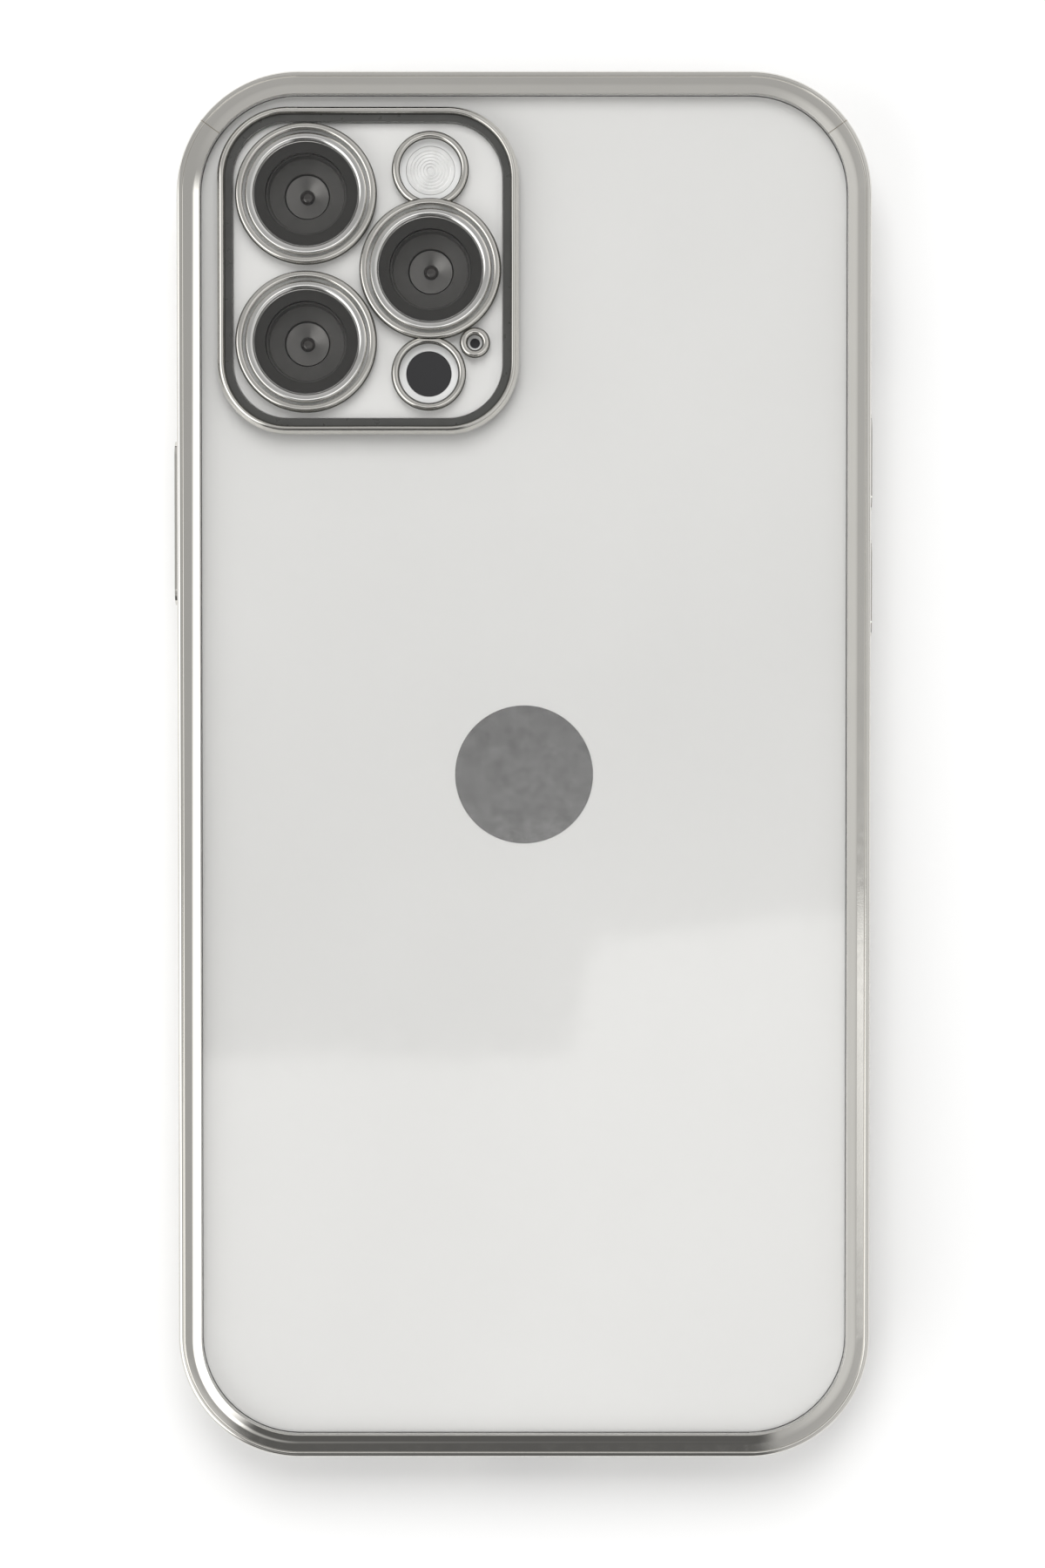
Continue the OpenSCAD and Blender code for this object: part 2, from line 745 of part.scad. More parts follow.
module bottom_microphones() {
  y = half_l - band_wall - 0.25;
  color([0.8, 0.7, 0.4]) for (x = [-grille_x - 2.5, -grille_x + 2.5])
    box(x - 1.5, x + 1.5, -y, -y + 1.2, middle_z - 0.9, middle_z + 0.9);
}

// A reversible charging socket: metal shell with a contact tongue in the middle
module charge_port() {
  end = half_l - port_shell_end;
  foot = (port_w - port_h) / 2 - 0.2;
  color(steel) {
    difference() {
      bottom_bar(0, end - port_depth - 1, end, port_w + 2 * port_wall, port_h + 2 * port_wall);
      bottom_bar(0, end - port_depth, end + 1, port_w, port_h);
    }
    box(-3.35, 3.35, -(end - 0.6), -(end - port_depth - 0.5), middle_z - 0.35, middle_z + 0.35);
    box(-foot, foot, -(half_l - band_wall - 0.2), -(end - port_depth), mid_z1,
      middle_z - port_h / 2);
  }
}

module bottom_screws() {
  color(steel) for (side = [-1, 1])
    translate([side * bottom_screw_x, 0, middle_z]) rotate([90, 0, 0]) {
      translate([0, 0, half_l - 4.5]) cylinder(h = 3.7, r = bottom_screw_r - 0.27);
      difference() {
        translate([0, 0, half_l - 0.8]) cylinder(h = 0.6, r = bottom_screw_r);
        translate([0, 0, half_l - 0.45]) cylinder(h = 1, r = 0.35, $fn = 5);
      }
    }
}

module wireless_coil() {
  color(copper) tube([0, 0], 22, 9, coil_z0, coil_z0 + coil_t);
}

module magnet_ring() {
  color([0.6, 0.6, 0.62]) tube([0, 0], 27.5, 24.5, coil_z0, coil_z0 + coil_t);
}

// ---- SIM tray ----

module sim_tray() {
  inner = half_w - tray_depth;
  card_x = half_w - band_wall - 1 - card_w / 2;
  color(steel) on_side(1, tray_y) {
    side_bar(half_w - band_wall, half_w - 0.05, tray_l, tray_h, tray_z);
    difference() {
      box(inner, half_w - band_wall, -tray_l / 2 + 0.7, tray_l / 2 - 0.7, tray_z - 0.6,
        tray_z + 0.6);
      box(card_x - card_w / 2 - 0.05, card_x + card_w / 2 + 0.05, -card_l / 2 - 0.05,
        card_l / 2 + 0.05, tray_z + 0.6 - card_t, tray_z + 2);
    }
  }
}

module sim_card() {
  card_x = half_w - band_wall - 1 - card_w / 2;
  color("gold") on_side(1, tray_y) box(card_x - card_w / 2, card_x + card_w / 2, -card_l / 2,
    card_l / 2, tray_z + 0.6 - card_t, tray_z + 0.6);
}

module sim_reader() {
  inner = half_w - tray_depth;
  color(steel) on_side(1, tray_y) difference() {
    box(inner - 0.6, half_w - band_wall - 0.4, -tray_l / 2, tray_l / 2, board_z1, tray_z + 1.15);
    box(inner - 0.1, half_w, -tray_l / 2 + 0.6, tray_l / 2 - 0.6, tray_z - 0.7, tray_z + 0.7);
  }
}

// ---- buttons ----

module key(side, y, len) {
  color(steel) on_side(side, y) {
    side_bar(flange_x0, half_w + key_proud, len - 2 * key_inset, key_h);
    side_bar(flange_x0, flange_x1, len - 2 * key_inset + 1, key_h + 0.8);
  }
}

module button_switches() {
  back = switch_x1 - switch_t;
  color([0.75, 0.7, 0.5]) {
    on_side(-1, side_key_y) {
      translate([back, 0, middle_z]) rotate([0, 90, 0]) cylinder(h = switch_t, r = 1.2);
      box(back - 0.2, back, -side_key_l / 2, side_key_l / 2, middle_z - 1.3, middle_z + 1.3);
    }
    for (y = [volume_up_y, volume_down_y]) on_side(1, y)
      translate([back, 0, middle_z]) rotate([0, 90, 0]) cylinder(h = switch_t, r = 1.2);
    box(back - 0.2, back, volume_down_y - 5, volume_up_y + 5, middle_z - 1.3, middle_z + 1.3);
  }
}

module mute_switch() {
  z0 = middle_z - mute_travel / 2 - mute_h / 2;
  color(steel) on_side(1, mute_y) {
    box(flange_x1, half_w + mute_proud, -mute_l / 2, mute_l / 2, z0, z0 + mute_h);
    box(flange_x0, flange_x1, -mute_l / 2 - 0.6, mute_l / 2 + 0.6, z0, z0 + mute_h);
  }
}

case_shell();
case_bumper();
case_camera_frame();
case_camera_band();
case_lens_guard();
case_lens_rings();
case_small_rings();
button_cover(-1, side_key_y, side_key_l, side_cover_proud);  // case_side_button_cover
button_cover(1, volume_up_y, volume_key_l, volume_cover_proud);  // case_volume_up_cover
button_cover(1, volume_down_y, volume_key_l, volume_cover_proud);  // case_volume_down_cover
frame_band();
antenna_breaks();
mid_plate();
rear_glass();
rear_inlay();
rear_gasket();
camera_plateau();
lens_rings();
lens_glasses();
lens_barrel_main();
lens_barrel_wide();
lens_barrel_tele();
camera_bracket();
image_sensors();
flash_lens();
flash_led_board();
depth_sensor_window();
depth_sensor_module();
rear_microphone();
display_glass();
display_panel();
display_gasket();
earpiece_mesh();
earpiece_speaker();
front_camera();
front_sensor_bar();
battery();
battery_flex();
logic_board();
board_shields();
internal_screws();
display_flex();
haptic_housing();
haptic_mass();
loudspeaker();
bottom_grilles();
bottom_microphones();
charge_port();
bottom_screws();
wireless_coil();
magnet_ring();
sim_tray();
sim_card();
sim_reader();
button_switches();
key(-1, side_key_y, side_key_l);  // side_button
key(1, volume_up_y, volume_key_l);  // volume_up_button
key(1, volume_down_y, volume_key_l);  // volume_down_button
mute_switch();
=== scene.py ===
"""Smartphone in a clear case with a plated edge: its looks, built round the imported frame."""

import json
import math

import bmesh
import bpy
from bpy.props import FloatProperty, FloatVectorProperty, IntProperty, PointerProperty
from mathutils import Matrix, Vector


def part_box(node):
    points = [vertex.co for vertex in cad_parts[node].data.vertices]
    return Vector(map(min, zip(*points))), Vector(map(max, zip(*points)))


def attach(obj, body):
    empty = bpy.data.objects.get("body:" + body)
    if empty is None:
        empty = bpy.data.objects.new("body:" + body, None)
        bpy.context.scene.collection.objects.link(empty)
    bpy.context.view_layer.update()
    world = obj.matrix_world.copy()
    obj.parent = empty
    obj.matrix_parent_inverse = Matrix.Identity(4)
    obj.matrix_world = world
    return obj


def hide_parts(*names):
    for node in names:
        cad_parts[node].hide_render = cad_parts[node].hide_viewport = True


bl_info = {
    "name": "Cased Phone",
    "version": (1, 0, 0),
    "blender": (4, 5, 0),
    "location": "View3D > Sidebar > Phone",
    "description": "Builds a smartphone in a clear case with a plated edge",
    "category": "Object",
}

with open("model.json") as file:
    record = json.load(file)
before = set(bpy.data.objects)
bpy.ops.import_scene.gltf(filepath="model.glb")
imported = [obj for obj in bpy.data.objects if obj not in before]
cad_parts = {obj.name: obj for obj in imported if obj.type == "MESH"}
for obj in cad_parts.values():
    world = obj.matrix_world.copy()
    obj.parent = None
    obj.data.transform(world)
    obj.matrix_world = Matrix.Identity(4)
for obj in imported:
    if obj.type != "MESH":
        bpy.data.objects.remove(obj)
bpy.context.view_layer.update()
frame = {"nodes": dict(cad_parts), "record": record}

MM = 0.001
PHONE = "phone"
UP = Vector((0, 0, 1))
LENS_NODES = ("lens_barrel_wide", "lens_barrel_main", "lens_barrel_tele")

# The step under the bumper's rim that both the bumper and the clear shell follow
RIM_DROP = 0.85 * MM
RIM_BEVEL = 0.55 * MM

# Openings in the case's side walls: the play round a key, and each half size across and up
KEY_PLAY = 0.08 * MM
MUTE_MOUTH = Vector((0, 5.5, 2.8)) * MM
PORT_ROOM = Vector((1.95, 0, 1.35)) * MM
SOUND_MOUTH = Vector((7, 0, 1.4)) * MM
SOUND_INSET = 6 * MM
CUT_OVERRUN = 2 * MM
CUT_DEPTH = 1 * MM

# Points nearer than this are one point; planes nearer than a tenth of it are one plane
WELD = 1e-6
FLAT = 1e-7


# ---- places taken from the frame ----


def centre_of(node):
    low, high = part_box(node)
    return (low + high) / 2


def half_of(node):
    low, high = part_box(node)
    return (high - low) / 2


def floor_of(node):
    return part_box(node)[0].z


def top_of(node):
    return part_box(node)[1].z


def body_of(node):
    """The moving body that a node belongs to."""
    bodies = frame["record"]["behaviour"]["bodies"]
    return next(body for body, nodes in bodies.items() if node in nodes)


# ---- settings ----


def length(name, description, default, low=0.0):
    """A length in metres, shown in the panel in the scene's unit."""
    return FloatProperty(
        name=name, description=description, default=default, min=low,
        unit="LENGTH", subtype="DISTANCE", precision=5,
    )


def tint(name, description, default):
    return FloatVectorProperty(
        name=name, description=description, default=default, size=3,
        min=0.0, max=1.0, subtype="COLOR",
    )


class CaseSizes(bpy.types.PropertyGroup):
    """Sizes of the clear case and its plated edge."""

    corner: length("Corner", "Corner radius of the phone inside the case", 11.35 * MM)
    roll: length("Outer roll", "Radius of the bumper's outer edge", 0.52 * MM)
    reach: length("Reach", "How far the bumper reaches over the back", 0.75 * MM)
    crease: length("Crease", "Distance of the crease from the bumper's outer wall", 0.57 * MM)
    plate_corner: length("Plate corner", "Corner radius of the plate inside the frame", 6 * MM)
    lip: length("Lip", "How far the clear lip reaches over the front glass", 0.6 * MM)
    clearance: length("Clearance", "Space between the phone and the case", 0.05 * MM)
    seam: length("Seam", "Hairline between the shell and what it touches", 0.015 * MM)
    cover_round: length("Cover round", "Edge radius of the button covers", 0.32 * MM)
    seam_width: length("Seam width", "Width of the plating's seam across a corner", 0.09 * MM)
    seam_turn: FloatProperty(
        name="Seam turn", description="Turn of each seam from its corner's diagonal",
        default=math.radians(-8), subtype="ANGLE", unit="ROTATION",
    )
    turns: IntProperty(name="Corner steps", description="Steps round a corner", default=28, min=4)


class LensSizes(bpy.types.PropertyGroup):
    """Sizes of the camera lenses and the small windows beside them."""

    glass: length("Glass", "Radius of a lens's cover glass", 5.6 * MM)
    iris: length("Iris", "Radius of the pupil in the front element", 0.78 * MM)
    element: length("Element", "Radius of the front element", 2.35 * MM)
    mouth: length("Mouth", "Radius of the clear middle of a lens's cover glass", 4.4 * MM)
    # Width of each painted shadow line at the foot of a ring
    shadow_line_width: length("Edge line", "Width of the dark line at the foot of each ring", 0.1 * MM)
    print_depth: length("Print", "Depth of the black print under a cover glass", 0.05 * MM)
    steps: IntProperty(name="Ring steps", description="Steps round a ring", default=128, min=16)


class FinishColours(bpy.types.PropertyGroup):
    """Colours of the main finishes."""

    plating: tint("Plating", "Warm nickel plating of the case", (0.7, 0.685, 0.65))
    steel: tint("Steel", "Polished steel of the phone", (0.74, 0.735, 0.72))
    back: tint("Back", "Silver-white rear glass", (0.665, 0.669, 0.665))
    island: tint("Island", "Glossy glass of the camera island", (0.72, 0.723, 0.719))
    band: tint("Band", "Dark band inside the camera frame", (0.055, 0.055, 0.052))
    disc: tint("Disc", "Polished disc on the back", (0.325, 0.327, 0.33))


class StageSettings(bpy.types.PropertyGroup):
    """Floor, lights and camera."""

    height: length("Camera height", "Height of the camera above the back", 0.4)
    tilt: FloatProperty(
        name="Tilt", description="Tilt of the camera from straight down",
        default=math.radians(1.4), subtype="ANGLE", unit="ROTATION",
    )
    view_length: length("View length", "Length that the picture covers", 0.1697)
    aim_down: length("Aim down", "How far below the phone's middle the camera aims", 1.8 * MM)
    aim_left: length("Aim left", "How far left of the phone's middle the camera aims", 0.165 * MM)


# ---- mesh helpers ----


def wire(bm, points, closed=True):
    """Lays a wire through points of (position, softening) and rounds each corner with a bevel."""
    verts = [bm.verts.new(place) for place, _ in points]
    pairs = list(zip(verts, verts[1:]))
    if closed:
        pairs.append((verts[-1], verts[0]))
    for pair in pairs:
        bm.edges.new(pair)
    for vert, (_, soft) in zip(verts, points):
        if soft:
            bmesh.ops.bevel(
                bm, geom=[vert], offset=soft, segments=8, profile=0.5,
                affect="VERTICES", material=-1, clamp_overlap=True,
            )


def closed_mesh(bm):
    bmesh.ops.remove_doubles(bm, verts=bm.verts, dist=WELD)
    bmesh.ops.recalc_face_normals(bm, faces=bm.faces)


def ring_of(points, centre, steps):
    """A solid ring or disc: points of (radius, height, softening) spun about an upright axis."""
    bm = bmesh.new()
    on_axis = any(radius == 0 for radius, _, _ in points)
    wire(
        bm, [((centre.x + radius, centre.y, z), soft) for radius, z, soft in points],
        closed=not on_axis,
    )
    bmesh.ops.spin(
        bm, geom=bm.verts[:] + bm.edges[:], cent=(centre.x, centre.y, 0), axis=UP,
        angle=math.tau, steps=steps, use_merge=True,
    )
    closed_mesh(bm)
    return bm


def sweep_round(points, half, corner, centre, steps, closed=True):
    """A band round a rounded rectangle: points are (outwards, height, softening).

    An open outline becomes a tray, its two rims filled straight across.
    """
    bm = bmesh.new()
    start = centre.y - (half.y - corner)
    wire(bm, [((centre.x + half.x + out, start, z), soft) for out, z, soft in points], closed)
    edges = bm.edges[:]
    runs = (half.y - corner, half.x - corner) * 2
    pivots = ((1, 1), (-1, 1), (-1, -1), (1, -1))
    for turn, (run, pivot) in enumerate(zip(runs, pivots)):
        heading = Matrix.Rotation(turn * math.pi / 2, 3, "Z") @ Vector((0, 1, 0))
        grown = bmesh.ops.extrude_edge_only(bm, edges=edges)["geom"]
        moved = [item for item in grown if isinstance(item, bmesh.types.BMVert)]
        bmesh.ops.translate(bm, verts=moved, vec=heading * 2 * run)
        edges = [item for item in grown if isinstance(item, bmesh.types.BMEdge)
                 and all(vert in moved for vert in item.verts)]
        pivot_place = (centre.x + pivot[0] * (half.x - corner),
                       centre.y + pivot[1] * (half.y - corner), 0)
        last = bmesh.ops.spin(
            bm, geom=moved + edges, cent=pivot_place, axis=UP, angle=math.pi / 2,
            steps=steps, use_merge=False,
        )["geom_last"]
        edges = [item for item in last if isinstance(item, bmesh.types.BMEdge)]
    bmesh.ops.remove_doubles(bm, verts=bm.verts, dist=WELD)
    if not closed:
        bmesh.ops.holes_fill(bm, edges=[edge for edge in bm.edges if edge.is_boundary], sides=0)
    closed_mesh(bm)
    return bm


def upright_edges(bm):
    return [e for e in bm.edges if (e.verts[0].co - e.verts[1].co).xy.length < FLAT]


def edges_at(bm, z):
    return [e for e in bm.edges if all(abs(v.co.z - z) < FLAT for v in e.verts)]


def soften(bm, edges, offset, segments):
    bmesh.ops.bevel(
        bm, geom=edges, offset=offset, segments=segments, profile=0.5,
        affect="EDGES", material=-1, clamp_overlap=True,
    )


def block(low, high):
    """A closed box between two corners."""
    bm = bmesh.new()
    bmesh.ops.create_cube(bm, size=1)
    bmesh.ops.scale(bm, vec=high - low, verts=bm.verts)
    bmesh.ops.translate(bm, vec=(high + low) / 2, verts=bm.verts)
    return bm


def rounded_slab(low, high, corner, steps, rim=0.0):
    """A flat plate with round corners, its two rims softened."""
    bm = block(low, high)
    soften(bm, upright_edges(bm), corner, steps)
    if rim:
        soften(bm, edges_at(bm, low.z) + edges_at(bm, high.z), rim, 3)
    closed_mesh(bm)
    return bm


def pill(low, high, along, rim=0.0, rim_ends=(True, True)):
    """A bar with round ends. along is 0 for a bar whose section faces X, or 1 for Y."""
    bm = block(low, high)
    tall = high.z - low.z
    run = [e for e in bm.edges
           if abs(e.verts[0].co[along] - e.verts[1].co[along]) > FLAT]
    soften(bm, run, tall * 0.4999, 12)
    if rim:
        ends = [value for value, wanted in zip((low[along], high[along]), rim_ends) if wanted]
        rims = [e for e in bm.edges for value in ends
                if all(abs(v.co[along] - value) < FLAT for v in e.verts)]
        soften(bm, rims, rim, 5)
    closed_mesh(bm)
    return bm


def object_from(bm, name):
    mesh = bpy.data.meshes.new(name)
    bm.to_mesh(mesh)
    bm.free()
    piece = bpy.data.objects.new(name, mesh)
    bpy.context.scene.collection.objects.link(piece)
    return piece


def joined(parts):
    """One bmesh that holds several."""
    whole = bmesh.new()
    for bm in parts:
        mesh = bpy.data.meshes.new("part")
        bm.to_mesh(mesh)
        bm.free()
        whole.from_mesh(mesh)
        bpy.data.meshes.remove(mesh)
    return whole


def cut(piece, cutters):
    """Takes closed cutters out of a piece, and leaves a plain mesh."""
    tools = []
    for number, bm in enumerate(cutters):
        tool = object_from(bm, f"cutter_{number}")
        modifier = piece.modifiers.new("Cut", "BOOLEAN")
        modifier.operation = "DIFFERENCE"
        modifier.solver = "EXACT"
        modifier.object = tool
        tools.append(tool)
    graph = bpy.context.evaluated_depsgraph_get()
    mesh = bpy.data.meshes.new_from_object(piece.evaluated_get(graph))
    old = piece.data
    piece.modifiers.clear()
    piece.data = mesh
    bpy.data.meshes.remove(old)
    for tool in tools:
        bpy.data.objects.remove(tool)


def dress(piece, material, body=PHONE, replaces=(), sharp=35):
    """Finishes a piece: smooth faces, its material, its body and the nodes it stands for."""
    piece.data.materials.clear()
    piece.data.materials.append(material)
    for face in piece.data.polygons:
        face.use_smooth = True
    piece.data.set_sharp_from_angle(angle=math.radians(sharp))
    modifier = piece.modifiers.new("Even shading", "WEIGHTED_NORMAL")
    modifier.keep_sharp = True
    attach(piece, body)
    if replaces:
        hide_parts(*replaces)
    return piece


# ---- finishes ----

FINISHES = {}
RAMP_SOCKETS = ("From Min", "From Max", "To Min", "To Max")


class Recipe:
    """A material under construction: one Principled shader and the textures that drive it."""

    def __init__(self, name, colour, roughness, metallic=0.0, **sockets):
        self.material = bpy.data.materials.new(name)
        self.material.use_nodes = True
        self.tree = self.material.node_tree
        self.shader = self.tree.nodes["Principled BSDF"]
        self.shader.inputs["Base Color"].default_value = (*colour, 1)
        self.shader.inputs["Roughness"].default_value = roughness
        self.shader.inputs["Metallic"].default_value = metallic
        for socket, value in sockets.items():
            self.shader.inputs[socket.replace("_", " ")].default_value = value
        self.colour = colour
        self.place = self.add("ShaderNodeTexCoord").outputs["Object"]
        self.bump = None
        FINISHES[name] = self.material

    def add(self, kind, **values):
        node = self.tree.nodes.new(kind)
        for name, value in values.items():
            setattr(node, name, value)
        return node

    def link(self, output, socket):
        self.tree.links.new(output, socket)

    def noise(self, scale, detail=3.0):
        node = self.add("ShaderNodeTexNoise")
        node.inputs["Scale"].default_value = scale
        node.inputs["Detail"].default_value = detail
        self.link(self.place, node.inputs["Vector"])
        return node.outputs["Fac"]

    def spread(self, output, low, high, start=0.3, end=0.7):
        node = self.add("ShaderNodeMapRange")
        for name, value in zip(RAMP_SOCKETS, (start, end, low, high)):
            node.inputs[name].default_value = value
        self.link(output, node.inputs["Value"])
        return node.outputs["Result"]

    def vary_roughness(self, output, low, high):
        self.link(self.spread(output, low, high), self.shader.inputs["Roughness"])

    def vary_colour(self, output, other):
        mix = self.add("ShaderNodeMix", data_type="RGBA")
        mix.inputs["A"].default_value = (*self.colour, 1)
        mix.inputs["B"].default_value = (*other, 1)
        self.link(self.spread(output, 0, 1), mix.inputs["Factor"])
        self.link(mix.outputs["Result"], self.shader.inputs["Base Color"])

    def roughen(self, output, distance, strength=1.0):
        node = self.add("ShaderNodeBump")
        node.inputs["Distance"].default_value = distance
        node.inputs["Strength"].default_value = strength
        self.link(output, node.inputs["Height"])
        if self.bump:
            self.link(self.bump, node.inputs["Normal"])
        self.bump = node.outputs["Normal"]
        self.link(self.bump, self.shader.inputs["Normal"])


def shade(colour, by):
    return tuple(min(1.0, channel * by) for channel in colour)


def plating_finish(colours):
    """Mirror-bright nickel with handling marks and the slow ripple of plated soft plastic."""
    recipe = Recipe("nickel_plating", colours.plating, 0.1, metallic=1.0)
    recipe.vary_colour(recipe.noise(180), shade(colours.plating, 0.975))
    recipe.vary_roughness(recipe.noise(900, 5), 0.04, 0.11)
    recipe.roughen(recipe.noise(110, 1), 0.00002, 0.2)
    recipe.roughen(recipe.noise(6000, 2), 0.000002, 0.4)


def steel_finish(colours):
    """Polished steel with fine turned lines."""
    recipe = Recipe("polished_steel", colours.steel, 0.14, metallic=1.0)
    recipe.vary_colour(recipe.noise(400), shade(colours.steel, 0.92))
    recipe.vary_roughness(recipe.noise(2200, 4), 0.06, 0.14)
    recipe.roughen(recipe.noise(9000, 2), 0.000002, 0.4)


def back_glass_finish(name, colour):
    """Satin silver-white glass with a faint pearl grain."""
    recipe = Recipe(name, colour, 0.32, Coat_Weight=0.3, Coat_Roughness=0.12)
    recipe.vary_colour(recipe.noise(25, 2), shade(colour, 1.04))
    recipe.vary_roughness(recipe.noise(5000, 3), 0.28, 0.38)
    recipe.roughen(recipe.noise(12000, 2), 0.000003, 0.3)


def see_through(recipe, tone, facing_on):
    """Mixes the shader with a clear view through, by Schlick's curve, alike on both faces."""
    through = recipe.add("ShaderNodeBsdfTransparent")
    through.inputs["Color"].default_value = (*tone, 1)
    weight = recipe.add("ShaderNodeLayerWeight")
    curve = recipe.add("ShaderNodeMath", operation="POWER")
    curve.inputs[1].default_value = 5
    recipe.link(weight.outputs["Facing"], curve.inputs[0])
    mix = recipe.add("ShaderNodeMixShader")
    recipe.link(recipe.spread(curve.outputs[0], facing_on, 0.9, 0, 1), mix.inputs["Fac"])
    recipe.link(through.outputs["BSDF"], mix.inputs[1])
    recipe.link(recipe.shader.outputs["BSDF"], mix.inputs[2])
    recipe.link(mix.outputs["Shader"], recipe.tree.nodes["Material Output"].inputs["Surface"])


def clear_finish():
    """Clear soft plastic: what is behind it shows through, and its face mirrors by angle."""
    recipe = Recipe("clear_case", (0.98, 0.975, 0.97), 0.05, metallic=1.0)
    recipe.vary_roughness(recipe.noise(700, 4), 0.02, 0.06)
    recipe.roughen(recipe.noise(60, 2), 0.00004, 0.25)
    see_through(recipe, (0.99, 0.988, 0.985), 0.035)


def lens_glass_finish():
    """Coated cover glass: nearly clear, with a cool mirror at a slant."""
    recipe = Recipe("coated_glass", (0.86, 0.86, 0.87), 0.02, metallic=1.0)
    recipe.vary_roughness(recipe.noise(1500, 4), 0.01, 0.05)
    see_through(recipe, (0.945, 0.94, 0.935), 0.02)


def plain_finish(name, colour, low, high, grain, depth, metallic=0.0, **sockets):
    """A moulded, cast or painted surface: uneven tone, uneven gloss and a fine grain."""
    recipe = Recipe(name, colour, (low + high) / 2, metallic, **sockets)
    recipe.vary_colour(recipe.noise(grain / 8), shade(colour, 0.82))
    recipe.vary_roughness(recipe.noise(grain / 3, 4), low, high)
    recipe.roughen(recipe.noise(grain, 3), depth, 0.5)
    return recipe


def mesh_finish():
    """Woven metal mesh behind the sound openings."""
    recipe = plain_finish("dark_mesh", (0.1, 0.1, 0.1), 0.3, 0.5, 6000, 0.000004, 0.8)
    weave = recipe.add("ShaderNodeTexVoronoi", feature="F1")
    weave.inputs["Scale"].default_value = 6500
    weave.inputs["Randomness"].default_value = 0.15
    recipe.link(recipe.place, weave.inputs["Vector"])
    recipe.roughen(weave.outputs["Distance"], 0.00005, 0.9)


def make_finishes(colours):
    plating_finish(colours)
    steel_finish(colours)
    back_glass_finish("silver_glass", colours.back)
    back_glass_finish("island_glass", colours.island)
    clear_finish()
    lens_glass_finish()
    mesh_finish()
    plain_finish("dark_band", colours.band, 0.25, 0.4, 3000, 0.000004, Coat_Weight=0.2)
    plain_finish("disc_metal", colours.disc, 0.12, 0.22, 4000, 0.000002, 0.9)
    plain_finish("black_barrel", (0.012, 0.012, 0.013), 0.35, 0.55, 5000, 0.000006)
    plain_finish("rim_black", (0.022, 0.022, 0.021), 0.3, 0.4, 5000, 0.000002)
    plain_finish("lip_metal", (0.2, 0.2, 0.195), 0.25, 0.35, 5000, 0.000001, 1.0)
    # Painted shade: a near-black finish for the thin lines at each ring's foot, standing in for
    # the contact shadow where the plating meets the guard plate
    plain_finish("painted_ring_shadow", (0.1, 0.098, 0.09), 0.3, 0.45, 4000, 0.000002, 0.8)
    plain_finish("seam_line", (0.33, 0.3, 0.25), 0.3, 0.45, 4000, 0.000002, 0.8)
    plain_finish("baffle_grey", (0.068, 0.068, 0.066), 0.4, 0.6, 7000, 0.000004)
    plain_finish("element_glass", (0.22, 0.22, 0.217), 0.3, 0.4, 2000, 0.000002, 0.85)
    plain_finish("iris_black", (0.03, 0.028, 0.027), 0.05, 0.12, 2000, 0.000001, Coat_Weight=1.0)
    plain_finish("black_glass", (0.008, 0.008, 0.01), 0.03, 0.08, 1200, 0.000001, Coat_Weight=1.0)
    plain_finish("diffuser", (0.75, 0.75, 0.74), 0.18, 0.3, 3500, 0.000004, Coat_Weight=0.6)
    plain_finish("dark_rubber", (0.03, 0.03, 0.03), 0.6, 0.8, 5000, 0.00001)
    plain_finish("dark_plastic", (0.035, 0.035, 0.04), 0.45, 0.6, 4000, 0.000006)
    plain_finish("light_plastic", (0.5, 0.5, 0.48), 0.4, 0.55, 4000, 0.000005)
    plain_finish("gold_plate", (0.83, 0.62, 0.3), 0.18, 0.3, 3000, 0.000002, 1.0)
    plain_finish("copper_foil", (0.72, 0.4, 0.2), 0.3, 0.45, 2500, 0.000005, 0.9)
    plain_finish("battery_foil", (0.045, 0.045, 0.05), 0.3, 0.45, 800, 0.00002)
    plain_finish("board_mask", (0.03, 0.13, 0.07), 0.3, 0.45, 1500, 0.00001, Coat_Weight=0.4)
    plain_finish("heavy_metal", (0.35, 0.35, 0.37), 0.35, 0.5, 3000, 0.00001, 0.9)
    plain_finish("sensor_filter", (0.05, 0.08, 0.16), 0.05, 0.12, 1500, 0.000001, Coat_Weight=1.0)


# Which finish each of the record's material slots takes on the nodes that stay as they are
SLOT_FINISHES = {
    "plated_edge": "nickel_plating",
    "steel": "polished_steel",
    "clear_case": "clear_case",
    "dark_band": "dark_band",
    "rear_white_glass": "silver_glass",
    "light_plastic": "light_plastic",
    "inlay_metal": "disc_metal",
    "dark_rubber": "dark_rubber",
    "lens_glass": "coated_glass",
    "black_metal": "black_barrel",
    "sensor_glass": "sensor_filter",
    "flash_diffuser": "diffuser",
    "contact_gold": "gold_plate",
    "black_glass": "black_glass",
    "dark_plastic": "dark_plastic",
    "dark_mesh": "dark_mesh",
    "battery_wrap": "battery_foil",
    "flex_copper": "copper_foil",
    "board": "board_mask",
    "heavy_metal": "heavy_metal",
}


# Nodes whose finish differs from the rest of their slot
NODE_FINISHES = {"camera_plateau": "island_glass"}


# ---- operators ----


